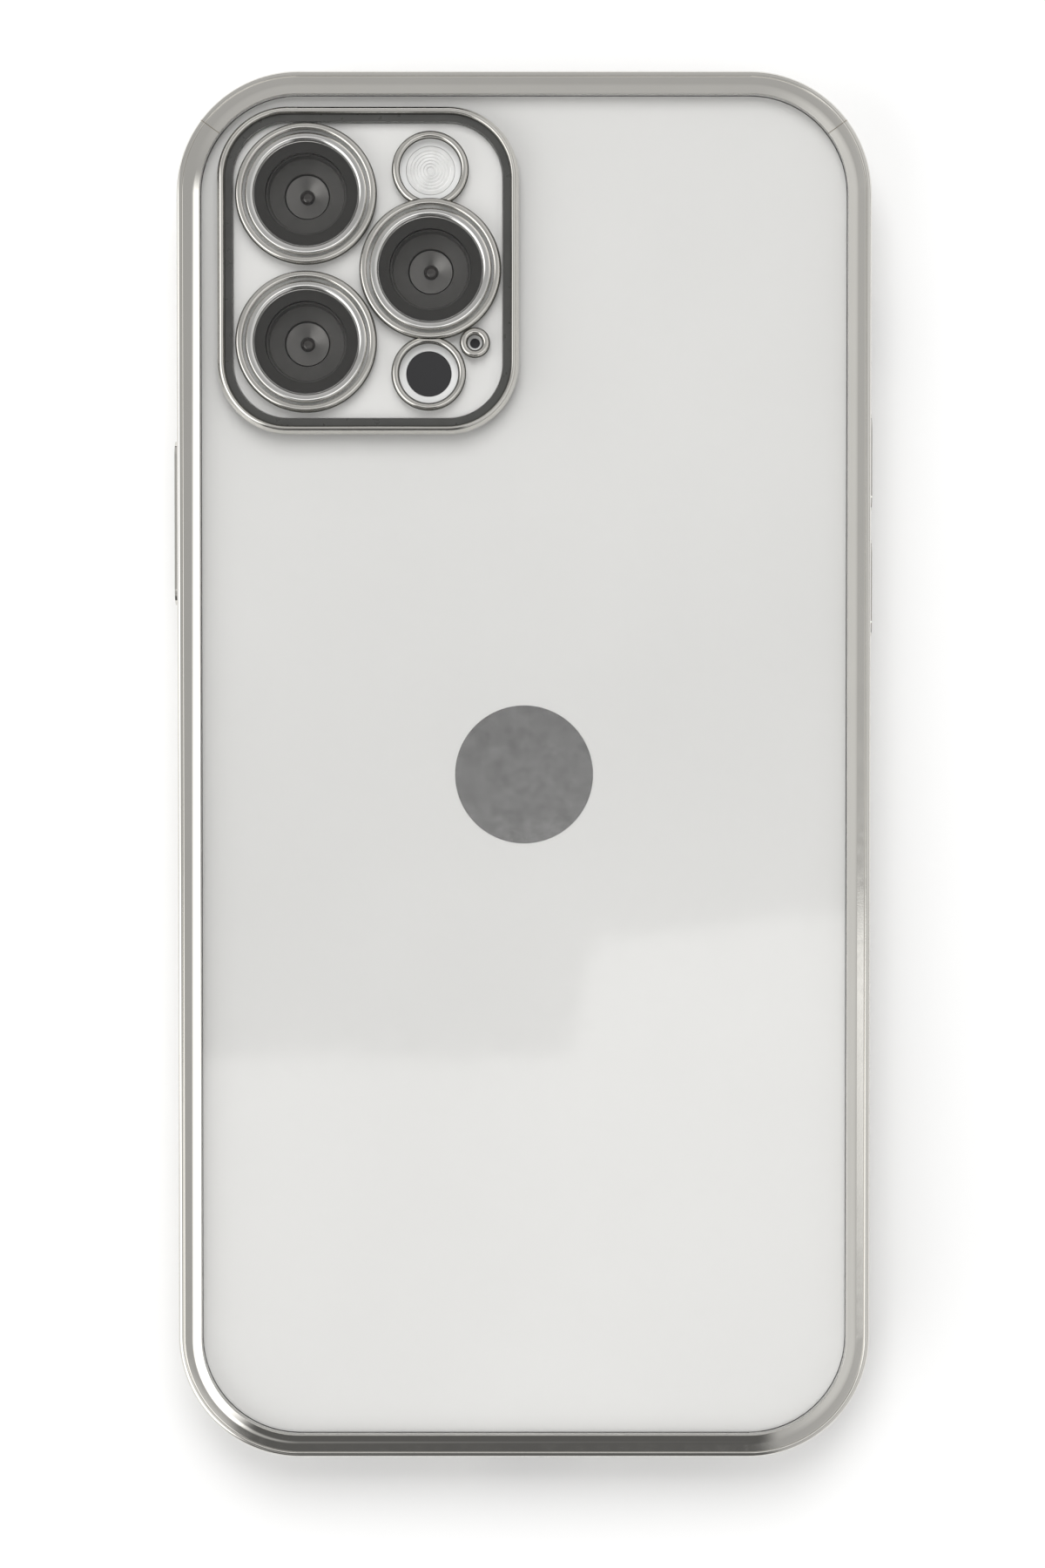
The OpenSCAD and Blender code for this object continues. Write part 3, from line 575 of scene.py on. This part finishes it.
class PHONE_OT_stage(bpy.types.Operator):
    """Makes the floor, the lights and the camera"""

    bl_idname = "phone.stage"
    bl_label = "Stage"

    floor_reach = 3.0
    floor_drop = 0.02 * MM
    softbox_heading = (-0.76, -0.64, 0.1)
    card_heading = (-0.13, -0.99, 0)
    key_place = Vector((-0.04, 0.55, 0.8))
    key_side = 0.6
    key_power = 5.3

    def execute(self, context):
        self.make_floor()
        self.make_world(context.scene)
        self.make_key_light()
        self.make_camera(context.scene, context.scene.phone_stage)
        return {"FINISHED"}

    def make_floor(self):
        bm = bmesh.new()
        bmesh.ops.create_grid(bm, x_segments=2, y_segments=2, size=self.floor_reach)
        bmesh.ops.translate(bm, vec=(0, 0, -self.floor_drop), verts=bm.verts)
        floor = object_from(bm, "floor")
        recipe = Recipe("pale_floor", (0.95, 0.95, 0.95), 0.9)
        recipe.vary_colour(recipe.noise(12), (0.94, 0.94, 0.94))
        floor.data.materials.append(recipe.material)

    def make_world(self, scene):
        """Surroundings by direction: grey above, a softbox low on the left, a dark card below."""
        world = bpy.data.worlds.new("studio")
        scene.world = world
        world.use_nodes = True
        tree = world.node_tree
        sky = tree.nodes["Background"]
        sky.inputs["Color"].default_value = (1, 0.997, 0.988, 1)
        place = tree.nodes.new("ShaderNodeTexCoord")
        split = tree.nodes.new("ShaderNodeSeparateXYZ")
        tree.links.new(place.outputs["Generated"], split.inputs["Vector"])

        def ramp(output, start, end, low, high):
            node = tree.nodes.new("ShaderNodeMapRange")
            node.interpolation_type = "SMOOTHSTEP"
            for name, value in zip(RAMP_SOCKETS, (start, end, low, high)):
                node.inputs[name].default_value = value
            tree.links.new(output, node.inputs["Value"])
            return node.outputs["Result"]

        def joint(kind, first, second):
            node = tree.nodes.new("ShaderNodeMath")
            node.operation = kind
            tree.links.new(first, node.inputs[0])
            tree.links.new(second, node.inputs[1])
            return node.outputs[0]

        def weighted(vector, weights):
            node = tree.nodes.new("ShaderNodeVectorMath")
            node.operation = "DOT_PRODUCT"
            node.inputs[1].default_value = weights
            tree.links.new(vector, node.inputs[0])
            return node.outputs["Value"]

        x, y, z = (split.outputs[axis] for axis in "XYZ")
        level = joint("ADD", ramp(x, 0.1, 0.8, 0.5, 0.8), ramp(y, 0.2, 0.8, 0.0, 0.1))
        softbox = weighted(place.outputs["Generated"], self.softbox_heading)
        glow = joint("MULTIPLY", ramp(softbox, 0.48, 0.7, 0.0, 1.5),
                     ramp(y, -0.86, -0.68, 0.0, 1.0))
        level = joint("ADD", level, glow)
        flat = tree.nodes.new("ShaderNodeCombineXYZ")
        tree.links.new(x, flat.inputs["X"])
        tree.links.new(y, flat.inputs["Y"])
        heading = tree.nodes.new("ShaderNodeVectorMath")
        heading.operation = "NORMALIZE"
        tree.links.new(flat.outputs["Vector"], heading.inputs[0])
        towards = weighted(heading.outputs["Vector"], self.card_heading)
        card = joint("MAXIMUM", ramp(towards, 0.9, 0.96, 1.0, 0.27),
                     ramp(z, 0.955, 0.985, 0.0, 1.0))
        level = joint("MULTIPLY", level, card)
        level = joint("MULTIPLY", level, ramp(z, 0.02, 0.22, 0.12, 1.0))
        level = joint("ADD", level, self.window(ramp, joint, x, y, z))
        tree.links.new(level, sky.inputs["Strength"])

    def window(self, ramp, joint, x, y, z):
        """A brighter patch nearly overhead, whose stepped edge shows in the clear panel."""
        edge = joint("ADD", ramp(x, 0.0109, 0.0217, -0.0963, -0.0638),
                     ramp(x, 0.02, 0.1, 0.0, 0.007))
        depth = joint("SUBTRACT", edge, y)
        patch = joint("MULTIPLY", ramp(depth, 0.0, 0.003, 0.0, 1.2),
                      ramp(y, -0.4, -0.25, 0.0, 1.0))
        patch = joint("MULTIPLY", patch, ramp(x, -0.3, -0.06, 0.0, 1.0))
        return joint("MULTIPLY", patch, ramp(z, 0.93, 0.96, 0.0, 1.0))

    def make_key_light(self):
        """A square panel beyond the camera end, which only the surfaces' diffuse part sees."""
        light = bpy.data.lights.new("key", "AREA")
        light.shape = "SQUARE"
        light.size = self.key_side
        light.energy = self.key_power
        lamp = bpy.data.objects.new("key", light)
        lamp.location = self.key_place
        lamp.rotation_euler = (-self.key_place).to_track_quat("-Z", "Y").to_euler()
        lamp.visible_camera = False
        lamp.visible_glossy = False
        bpy.context.scene.collection.objects.link(lamp)

    def make_camera(self, scene, stage):
        data = bpy.data.cameras.new("camera")
        data.sensor_width = 36.0
        data.lens = data.sensor_width * stage.height / stage.view_length
        data.clip_start = 0.01
        data.clip_end = 20
        camera = bpy.data.objects.new("camera", data)
        level = top_of("case_bumper")
        aim = Vector((-stage.aim_left, -stage.aim_down, level))
        lean = Vector((0, math.sin(stage.tilt), math.cos(stage.tilt)))
        camera.location = aim + lean * stage.height
        camera.rotation_euler = (-stage.tilt, 0, 0)
        scene.collection.objects.link(camera)
        scene.camera = camera
        scene.view_settings.view_transform = "Standard"


class PHONE_OT_finishes(bpy.types.Operator):
    """Makes every finish and gives it to the frame's own pieces"""

    bl_idname = "phone.finishes"
    bl_label = "Finishes"

    def execute(self, context):
        make_finishes(context.scene.phone_colours)
        slots = {row["node"]: row["material_slot"] for row in frame["record"]["subparts"]}
        for name, node in frame["nodes"].items():
            finish = FINISHES[NODE_FINISHES.get(name, SLOT_FINISHES[slots[name]])]
            for place in node.material_slots:
                place.material = finish
        return {"FINISHED"}


def side_cutters():
    """Closed bars that cut the case's openings: keys, mute switch, port and sound slots."""
    edge = half_of("case_bumper").x + CUT_OVERRUN
    inner = half_of("frame_band").x - CUT_DEPTH
    margin = Vector((0, KEY_PLAY, KEY_PLAY))
    bars = []
    for node in ("case_side_button_cover", "case_volume_up_cover", "case_volume_down_cover"):
        low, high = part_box(node)
        side = math.copysign(1, low.x)
        low, high = low - margin, high + margin
        low.x, high.x = sorted((side * inner, side * edge))
        bars.append(pill(low, high, 0))
    lever = centre_of("mute_switch")
    middle = Vector((0, lever.y, centre_of("case_side_button_cover").z))
    bars.append(pill(middle - MUTE_MOUTH + Vector((inner, 0, 0)),
                     middle + MUTE_MOUTH + Vector((edge, 0, 0)), 0))
    end = half_of("case_bumper").y + CUT_OVERRUN
    start = half_of("frame_band").y - CUT_DEPTH
    port = half_of("charge_port") + PORT_ROOM
    mouths = [(0, port)]
    reach = half_of("bottom_grilles").x - SOUND_INSET
    mouths += [(centre_of("bottom_grilles").x + side * reach, SOUND_MOUTH) for side in (-1, 1)]
    level = centre_of("charge_port").z
    for x, mouth in mouths:
        bars.append(pill(Vector((x - mouth.x, -end, level - mouth.z)),
                         Vector((x + mouth.x, -start, level + mouth.z)), 1))
    return bars


def bumper_outline(case):
    """Outline of the plated bumper, in points of (outwards from the phone, height, softening)."""
    phone = half_of("frame_band")
    out = half_of("case_bumper").x - phone.x
    shell = half_of("case_shell").x - phone.x
    bottom, crest = floor_of("case_bumper"), top_of("case_bumper")
    panel = top_of("case_shell")
    ledge, rim = panel - 0.17 * MM, panel - RIM_DROP
    return [
        (shell, bottom, 0.06 * MM),
        (out, bottom, 0.5 * MM),
        (out, ledge, case.roll),
        (out - case.crease, ledge, 0.03 * MM),
        (out - case.crease - 0.06 * MM, ledge - 0.07 * MM, 0.02 * MM),
        (out - case.crease - 0.13 * MM, ledge, 0.04 * MM),
        (0.85 * MM - case.reach, ledge + 0.12 * MM, 0.3 * MM),
        (0.03 * MM - case.reach, crest, 0.05 * MM),
        (-case.reach, panel, 0.02 * MM),
        (-case.reach, rim, 0),
        (shell - RIM_BEVEL, rim, 0),
        (shell, rim - RIM_BEVEL, 0),
    ]


class PHONE_OT_bumper(bpy.types.Operator):
    """Makes the plated bumper, and the plating's seams across its upper corners"""

    bl_idname = "phone.bumper"
    bl_label = "Plated bumper"

    seam_growth = (1.004, 1, 1.001)

    def execute(self, context):
        case = context.scene.phone_case
        bm = sweep_round(bumper_outline(case), half_of("frame_band"), case.corner,
                         Vector((0, 0, 0)), case.turns)
        piece = object_from(bm, "plated_bumper")
        cut(piece, side_cutters())
        rounding = piece.modifiers.new("Softened cuts", "BEVEL")
        rounding.width = 0.12 * MM
        rounding.segments = 3
        rounding.limit_method = "ANGLE"
        rounding.angle_limit = math.radians(60)
        dress(piece, FINISHES["nickel_plating"], replaces=["case_bumper"])
        seams = [self.seam(case, side) for side in (-1, 1)]
        dress(object_from(joined(seams), "plating_seams"), FINISHES["seam_line"])
        return {"FINISHED"}

    def seam(self, case, side):
        """A hair-thin slice of the bumper's outline, a little larger, across one corner."""
        half = half_of("frame_band")
        pivot = Vector((side * (half.x - case.corner), half.y - case.corner, 0))
        bm = bmesh.new()
        wire(bm, [((pivot.x + case.corner + out, pivot.y - case.seam_width / 2, z), soft)
                  for out, z, soft in bumper_outline(case)])
        bmesh.ops.holes_fill(bm, edges=bm.edges[:], sides=0)
        grown = bmesh.ops.extrude_face_region(bm, geom=bm.faces[:])["geom"]
        bmesh.ops.translate(bm, vec=(0, case.seam_width, 0),
                            verts=[item for item in grown if isinstance(item, bmesh.types.BMVert)])
        low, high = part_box("case_bumper")
        middle = Vector((pivot.x + case.corner + 0.5 * MM, pivot.y, (low.z + high.z) / 2))
        bmesh.ops.scale(bm, vec=self.seam_growth, verts=bm.verts,
                        space=Matrix.Translation(-middle))
        turn = math.atan2(1, side) + side * case.seam_turn
        bmesh.ops.rotate(bm, cent=pivot, matrix=Matrix.Rotation(turn, 3, "Z"), verts=bm.verts)
        closed_mesh(bm)
        return bm


class PHONE_OT_clear_shell(bpy.types.Operator):
    """Makes the clear shell: lip over the front glass, side walls, and the panel over the back"""

    bl_idname = "phone.clear_shell"
    bl_label = "Clear shell"

    def execute(self, context):
        case = context.scene.phone_case
        phone = half_of("frame_band")
        panel, rim = top_of("case_shell"), top_of("case_shell") - RIM_DROP - case.seam
        under = top_of("rear_glass") + case.clearance
        front = floor_of("display_glass") - case.clearance
        out = half_of("case_shell").x - phone.x - case.seam
        bottom = floor_of("case_shell")
        section = [
            (-case.reach - case.seam, panel, 0),
            (-case.reach - case.seam, rim, 0),
            (out - RIM_BEVEL, rim, 0),
            (out, rim - RIM_BEVEL, 0),
            (out, bottom, 0.04 * MM),
            (-case.lip, bottom, 0.15 * MM),
            (-case.lip, front, 0.1 * MM),
            (case.clearance, front, 0.05 * MM),
            (case.clearance, under, 0.1 * MM),
            (-case.reach - RIM_BEVEL, under, 0),
        ]
        bm = sweep_round(section, phone, case.corner, Vector((0, 0, 0)), case.turns, closed=False)
        piece = object_from(bm, "clear_case_shell")
        cut(piece, [self.island(case), *side_cutters()])
        dress(piece, FINISHES["clear_case"], replaces=["case_shell"])
        return {"FINISHED"}

    def island(self, case):
        """A closed block the size of the opening for the camera island."""
        room = Vector((0.15, 0.15, 0)) * MM
        low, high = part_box("case_lens_guard")
        tall = Vector((0, 0, 3 * MM))
        bm = block(low - room - tall, high + room + tall)
        soften(bm, upright_edges(bm), case.plate_corner + room.x, 12)
        closed_mesh(bm)
        return bm


class PHONE_OT_camera_frame(bpy.types.Operator):
    """Makes the plated bead of the camera frame and the dark band inside it"""

    bl_idname = "phone.camera_frame"
    bl_label = "Camera frame"

    def execute(self, context):
        case = context.scene.phone_case
        plate, centre = half_of("case_lens_guard"), centre_of("case_lens_guard")
        band = half_of("case_camera_band").x - plate.x
        out = half_of("case_camera_frame").x - plate.x
        foot, top = floor_of("case_camera_frame"), top_of("case_camera_frame")
        bead = [
            (band, foot, 0),
            (out, foot, 0),
            (out, foot + 0.55 * MM, 0.25 * MM),
            (out - 0.38 * MM, top - 0.08 * MM, 0.2 * MM),
            (band + 0.2 * MM, top, 0.15 * MM),
            (band, top - 0.4 * MM, 0.15 * MM),
        ]
        bm = sweep_round(bead, plate, case.plate_corner, centre, case.turns)
        dress(object_from(bm, "camera_frame_bead"), FINISHES["nickel_plating"],
              replaces=["case_camera_frame"])
        foot, top = floor_of("case_camera_band"), top_of("case_camera_band")
        gap = 0.01 * MM
        lining = [
            (gap, foot, 0),
            (band - gap, foot, 0),
            (band - gap, top, 0.04 * MM),
            (gap, top - 0.02 * MM, 0.05 * MM),
        ]
        bm = sweep_round(lining, plate, case.plate_corner, centre, case.turns)
        dress(object_from(bm, "camera_frame_lining"), FINISHES["dark_band"],
              replaces=["case_camera_band"])
        return {"FINISHED"}


class PHONE_OT_case_rings(bpy.types.Operator):
    """Makes the plated rings of the case round the lenses, flash, sensor and microphone"""

    bl_idname = "phone.case_rings"
    bl_label = "Case rings"

    lens_width = 0.7 * MM
    small_width = 0.65 * MM
    small_radii = {
        "flash_lens": 3.4 * MM,
        "depth_sensor_window": 3.28 * MM,
        "rear_microphone": 0.9 * MM,
    }
    # Height and overlap of the painted shadow lines at the rings' feet
    line_height = 0.03 * MM
    line_lap = 0.01 * MM

    def execute(self, context):
        lenses = context.scene.phone_lenses
        rings = []
        foot, top = floor_of("case_lens_rings"), top_of("case_lens_rings")
        outer = self.lens_ring_outer()
        for node in LENS_NODES:
            rings.append(ring_of(self.bead(outer - self.lens_width, outer, foot, top),
                                 centre_of(node), lenses.steps))
        dress(object_from(joined(rings), "case_lens_rings_plated"), FINISHES["nickel_plating"],
              replaces=["case_lens_rings"])
        self.small_rings(lenses, outer)
        self.paint_ring_shadows(lenses, outer)
        return {"FINISHED"}

    def paint_ring_shadows(self, lenses, outer):
        """Makes the thin dark lines at the foot of each ring on the guard plate: painted shadow
        where the plating meets the plate.
        """
        foot = floor_of("case_lens_rings")
        top, wide, lap = foot + self.line_height, lenses.shadow_line_width, self.line_lap

        def line(inner, far, centre):
            return ring_of([(inner, foot, 0), (far, foot, 0), (far, top, 0), (inner, top, 0)],
                           centre, lenses.steps)

        tele = centre_of("lens_barrel_tele")
        lens_lines = [line(outer - lap, outer + wide, centre_of(node)) for node in LENS_NODES]
        small_lines = []
        for node, inner in self.small_radii.items():
            centre, far = centre_of(node), inner + self.small_width
            small_lines.append(line(inner - wide, inner + lap, centre))
            small_lines.append(line(far - lap, far + wide, centre))
        piece = object_from(joined(small_lines), "small_ring_painted_shadows")
        cut(piece, [self.clearing(tele, outer - lap, foot, top, lenses.steps)])
        # Both sets of lines are painted shade: a dark finish where the rings meet the guard plate
        dress(piece, FINISHES["painted_ring_shadow"])
        dress(object_from(joined(lens_lines), "lens_ring_painted_shadows"), FINISHES["painted_ring_shadow"])

    def clearing(self, centre, radius, low, high, steps):
        """A closed drum that clears small pieces away from the tele lens's ring."""
        return ring_of([(0, low - 1 * MM, 0), (radius, low - 1 * MM, 0),
                        (radius, high + 1 * MM, 0), (0, high + 1 * MM, 0)], centre, steps)

    def lens_ring_outer(self):
        """Outer radius of a lens ring: from the tele lens's axis to the end of the rings' box."""
        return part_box("case_lens_rings")[1].x - centre_of("lens_barrel_tele").x

    def bead(self, inner, outer, foot, top):
        return [
            (inner, foot, 0),
            (outer, foot, 0.04 * MM),
            (outer - 0.04 * MM, top, 0.26 * MM),
            (inner + 0.02 * MM, top, 0.26 * MM),
        ]

    def small_rings(self, lenses, outer):
        foot, top = floor_of("case_small_rings"), top_of("case_small_rings")
        rings = [
            ring_of(self.bead(inner, inner + self.small_width, foot, top),
                    centre_of(node), lenses.steps)
            for node, inner in self.small_radii.items()
        ]
        piece = object_from(joined(rings), "case_small_rings_plated")
        tele = centre_of("lens_barrel_tele")
        cut(piece, [self.clearing(tele, outer + 0.05 * MM, foot, top, lenses.steps)])
        dress(piece, FINISHES["nickel_plating"], replaces=["case_small_rings"])


class PHONE_OT_lenses(bpy.types.Operator):
    """Makes the steel lens rings, the cover glasses, and each lens's barrel and front element"""

    bl_idname = "phone.lenses"
    bl_label = "Lenses"

    bore = 5.0 * MM
    hair = 0.01 * MM
    lip_width = 0.09 * MM
    element_depth = 3.1 * MM
    baffle_depth = 1.1 * MM
    pupil_lift = 0.4 * MM

    def execute(self, context):
        lenses = context.scene.phone_lenses
        self.steel_rings(lenses)
        self.cover_glasses(lenses)
        for node in LENS_NODES:
            self.barrel(node, lenses)
        return {"FINISHED"}

    def steel_rings(self, lenses):
        foot, top = floor_of("lens_rings"), top_of("lens_rings")
        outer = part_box("lens_rings")[1].x - centre_of("lens_barrel_tele").x
        seat = floor_of("lens_glasses")
        inner = lenses.glass + 0.05 * MM
        section = [
            (self.bore, foot, 0),
            (outer, foot, 0.03 * MM),
            (outer, top - 0.1 * MM, 0.28 * MM),
            (outer - 0.4 * MM, top, 0.12 * MM),
            (inner + 0.2 * MM, top - 0.04 * MM, 0.18 * MM),
            (inner, top - 0.3 * MM, 0.08 * MM),
            (inner, seat, 0),
            (self.bore, seat, 0),
        ]
        rings = [ring_of(section, centre_of(node), lenses.steps) for node in LENS_NODES]
        dress(object_from(joined(rings), "steel_lens_rings"), FINISHES["polished_steel"],
              replaces=["lens_rings"])

    def cover_glasses(self, lenses):
        """The clear discs, and the black print under their rims."""
        seat, high = floor_of("lens_glasses"), top_of("lens_glasses")
        low = seat + lenses.print_depth
        section = [
            (0, low, 0), (lenses.glass, low, 0.03 * MM), (lenses.glass, high, 0.06 * MM),
            (0, high, 0),
        ]
        discs = [ring_of(section, centre_of(node), lenses.steps) for node in LENS_NODES]
        dress(object_from(joined(discs), "lens_cover_glasses"), FINISHES["coated_glass"],
              replaces=["lens_glasses"])
        section = [
            (lenses.mouth, seat, 0), (lenses.glass, seat, 0), (lenses.glass, low - self.hair, 0),
            (lenses.mouth + 0.03 * MM, low - self.hair, 0),
        ]
        prints = [ring_of(section, centre_of(node), lenses.steps) for node in LENS_NODES]
        dress(object_from(joined(prints), "lens_rim_print"), FINISHES["rim_black"])
        near, far = lenses.mouth - self.hair, lenses.mouth + self.lip_width
        section = [
            (near, seat - self.lip_width, 0.03 * MM), (far, seat - self.lip_width, 0.03 * MM),
            (far, seat, 0), (near, seat, 0.03 * MM),
        ]
        lips = [ring_of(section, centre_of(node), lenses.steps) for node in LENS_NODES]
        dress(object_from(joined(lips), "lens_mouth_lips"), FINISHES["lip_metal"])

    def barrel(self, node, lenses):
        centre, outer = centre_of(node), half_of(node).x
        low, high = floor_of(node), top_of(node)
        seat, step = high - self.element_depth, high - self.baffle_depth
        shell = [
            (0, low, 0), (outer, low, 0.05 * MM), (outer, high, 0.08 * MM),
            (outer - 0.2 * MM, high, 0.05 * MM), (outer - 0.35 * MM, step, 0.05 * MM),
            (lenses.element + 0.12 * MM, step - 0.5 * MM, 0.05 * MM),
            (lenses.element, seat, 0.02 * MM), (0, seat, 0),
        ]
        barrel = object_from(ring_of(shell, centre, lenses.steps), f"{node}_shell")
        dress(barrel, FINISHES["baffle_grey"], body_of(node), replaces=[node])
        rim, lift = lenses.element - self.hair, seat + self.pupil_lift
        dome = [
            (0, seat, 0), (rim, seat, 0), (rim, seat + 1.05 * MM, 0.05 * MM),
            (lenses.iris + 0.02 * MM, lift + 0.1 * MM, 0.03 * MM),
            (lenses.iris, lift, 0.03 * MM), (0, lift, 0),
        ]
        element = object_from(ring_of(dome, centre, lenses.steps // 2), f"{node}_element")
        dress(element, FINISHES["element_glass"], body_of(node))
        drop = [
            (0, lift + self.hair, 0), (lenses.iris - 0.02 * MM, lift + self.hair, 0),
            (lenses.iris * 0.6, lift + 0.28 * MM, 0.25 * MM), (0, lift + 0.32 * MM, 0),
        ]
        pupil = object_from(ring_of(drop, centre, lenses.steps // 4), f"{node}_pupil")
        dress(pupil, FINISHES["iris_black"], body_of(node))


class PHONE_OT_windows(bpy.types.Operator):
    """Makes the ribbed flash diffuser and the depth sensor's window"""

    bl_idname = "phone.windows"
    bl_label = "Flash and windows"

    ribs = 6

    def execute(self, context):
        steps = context.scene.phone_lenses.steps
        self.flash(steps)
        self.depth_window(steps)
        return {"FINISHED"}

    def flash(self, steps):
        centre, radius = centre_of("flash_lens"), half_of("flash_lens").x
        low, high = floor_of("flash_lens"), top_of("flash_lens")
        pitch = radius * 0.8 / self.ribs
        section = [(0, low, 0), (radius, low, 0), (radius, high - 0.05 * MM, 0.04 * MM)]
        for rib in range(self.ribs, 0, -1):
            section.append((rib * pitch + 0.1 * MM, high - 0.02 * MM, 0.02 * MM))
            section.append((rib * pitch, high - 0.14 * MM, 0.02 * MM))
        section.append((0, high - 0.06 * MM, 0))
        dress(object_from(ring_of(section, centre, steps), "flash_diffuser"),
              FINISHES["diffuser"], replaces=["flash_lens"], sharp=25)

    def depth_window(self, steps):
        centre, radius = centre_of("depth_sensor_window"), half_of("depth_sensor_window").x
        low, high = floor_of("depth_sensor_window"), top_of("depth_sensor_window")
        section = [(0, low, 0), (radius, low, 0), (radius, high, 0.06 * MM), (0, high, 0)]
        dress(object_from(ring_of(section, centre, steps), "depth_window"),
              FINISHES["black_glass"], replaces=["depth_sensor_window"])


class PHONE_OT_covers(bpy.types.Operator):
    """Makes the plated covers of the side and volume buttons"""

    bl_idname = "phone.covers"
    bl_label = "Button covers"

    def execute(self, context):
        soft = context.scene.phone_case.cover_round
        for node in ("case_side_button_cover", "case_volume_up_cover", "case_volume_down_cover"):
            low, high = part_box(node)
            ends = (low.x < 0, low.x > 0)
            bm = pill(low, high, 0, rim=soft, rim_ends=ends)
            dress(object_from(bm, f"{node}_plated"), FINISHES["nickel_plating"],
                  body_of(node), replaces=[node])
        return {"FINISHED"}


class PHONE_OT_back_disc(bpy.types.Operator):
    """Makes the plain polished disc on the back"""

    bl_idname = "phone.back_disc"
    bl_label = "Back disc"

    def execute(self, context):
        low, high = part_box("rear_inlay")
        radius = half_of("rear_inlay").x
        section = [(0, low.z, 0), (radius, low.z, 0), (radius, high.z, 0.01 * MM), (0, high.z, 0)]
        bm = ring_of(section, centre_of("rear_inlay"), 96)
        dress(object_from(bm, "back_disc"), FINISHES["disc_metal"],
              replaces=["rear_inlay"])
        return {"FINISHED"}


class PHONE_OT_display(bpy.types.Operator):
    """Makes the display glass with its softened edge and the earpiece slot"""

    bl_idname = "phone.display"
    bl_label = "Display glass"

    def execute(self, context):
        case = context.scene.phone_case
        low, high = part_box("display_glass")
        inset = half_of("frame_band").x - half_of("display_glass").x
        bm = rounded_slab(low, high, case.corner - inset, case.turns, rim=0.18 * MM)
        piece = object_from(bm, "display_glass_front")
        slot_low, slot_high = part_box("earpiece_mesh")
        margin = Vector((0.03, 0.03, 2)) * MM
        slot = block(slot_low - margin, slot_high + margin)
        soften(slot, upright_edges(slot), (slot_high.y - slot_low.y) * 0.49, 8)
        closed_mesh(slot)
        cut(piece, [slot])
        dress(piece, FINISHES["black_glass"], replaces=["display_glass"])
        return {"FINISHED"}


# ---- panel and registration ----

BUILD_STEPS = (
    PHONE_OT_stage, PHONE_OT_finishes, PHONE_OT_bumper, PHONE_OT_clear_shell,
    PHONE_OT_camera_frame, PHONE_OT_case_rings, PHONE_OT_lenses, PHONE_OT_windows,
    PHONE_OT_covers, PHONE_OT_back_disc, PHONE_OT_display,
)
SETTINGS = {
    "phone_case": CaseSizes,
    "phone_lenses": LensSizes,
    "phone_colours": FinishColours,
    "phone_stage": StageSettings,
}


class PHONE_PT_build(bpy.types.Panel):
    """Lists the settings and the steps that build the phone"""

    bl_idname = "PHONE_PT_build"
    bl_label = "Cased Phone"
    bl_space_type = "VIEW_3D"
    bl_region_type = "UI"
    bl_category = "Phone"

    def draw(self, context):
        for name, group in SETTINGS.items():
            box = self.layout.box()
            for prop in group.__annotations__:
                box.prop(getattr(context.scene, name), prop)
        for step in BUILD_STEPS:
            self.layout.operator(step.bl_idname)


def register():
    for group in SETTINGS.values():
        bpy.utils.register_class(group)
    for step in (*BUILD_STEPS, PHONE_PT_build):
        bpy.utils.register_class(step)
    for name, group in SETTINGS.items():
        setattr(bpy.types.Scene, name, PointerProperty(type=group))


def unregister():
    for name in SETTINGS:
        delattr(bpy.types.Scene, name)
    for step in (*BUILD_STEPS, PHONE_PT_build, *SETTINGS.values()):
        bpy.utils.unregister_class(step)


def main():
    register()
    for step in BUILD_STEPS:
        module, name = step.bl_idname.split(".")
        getattr(getattr(bpy.ops, module), name)()


if __name__ == "__main__":
    main()
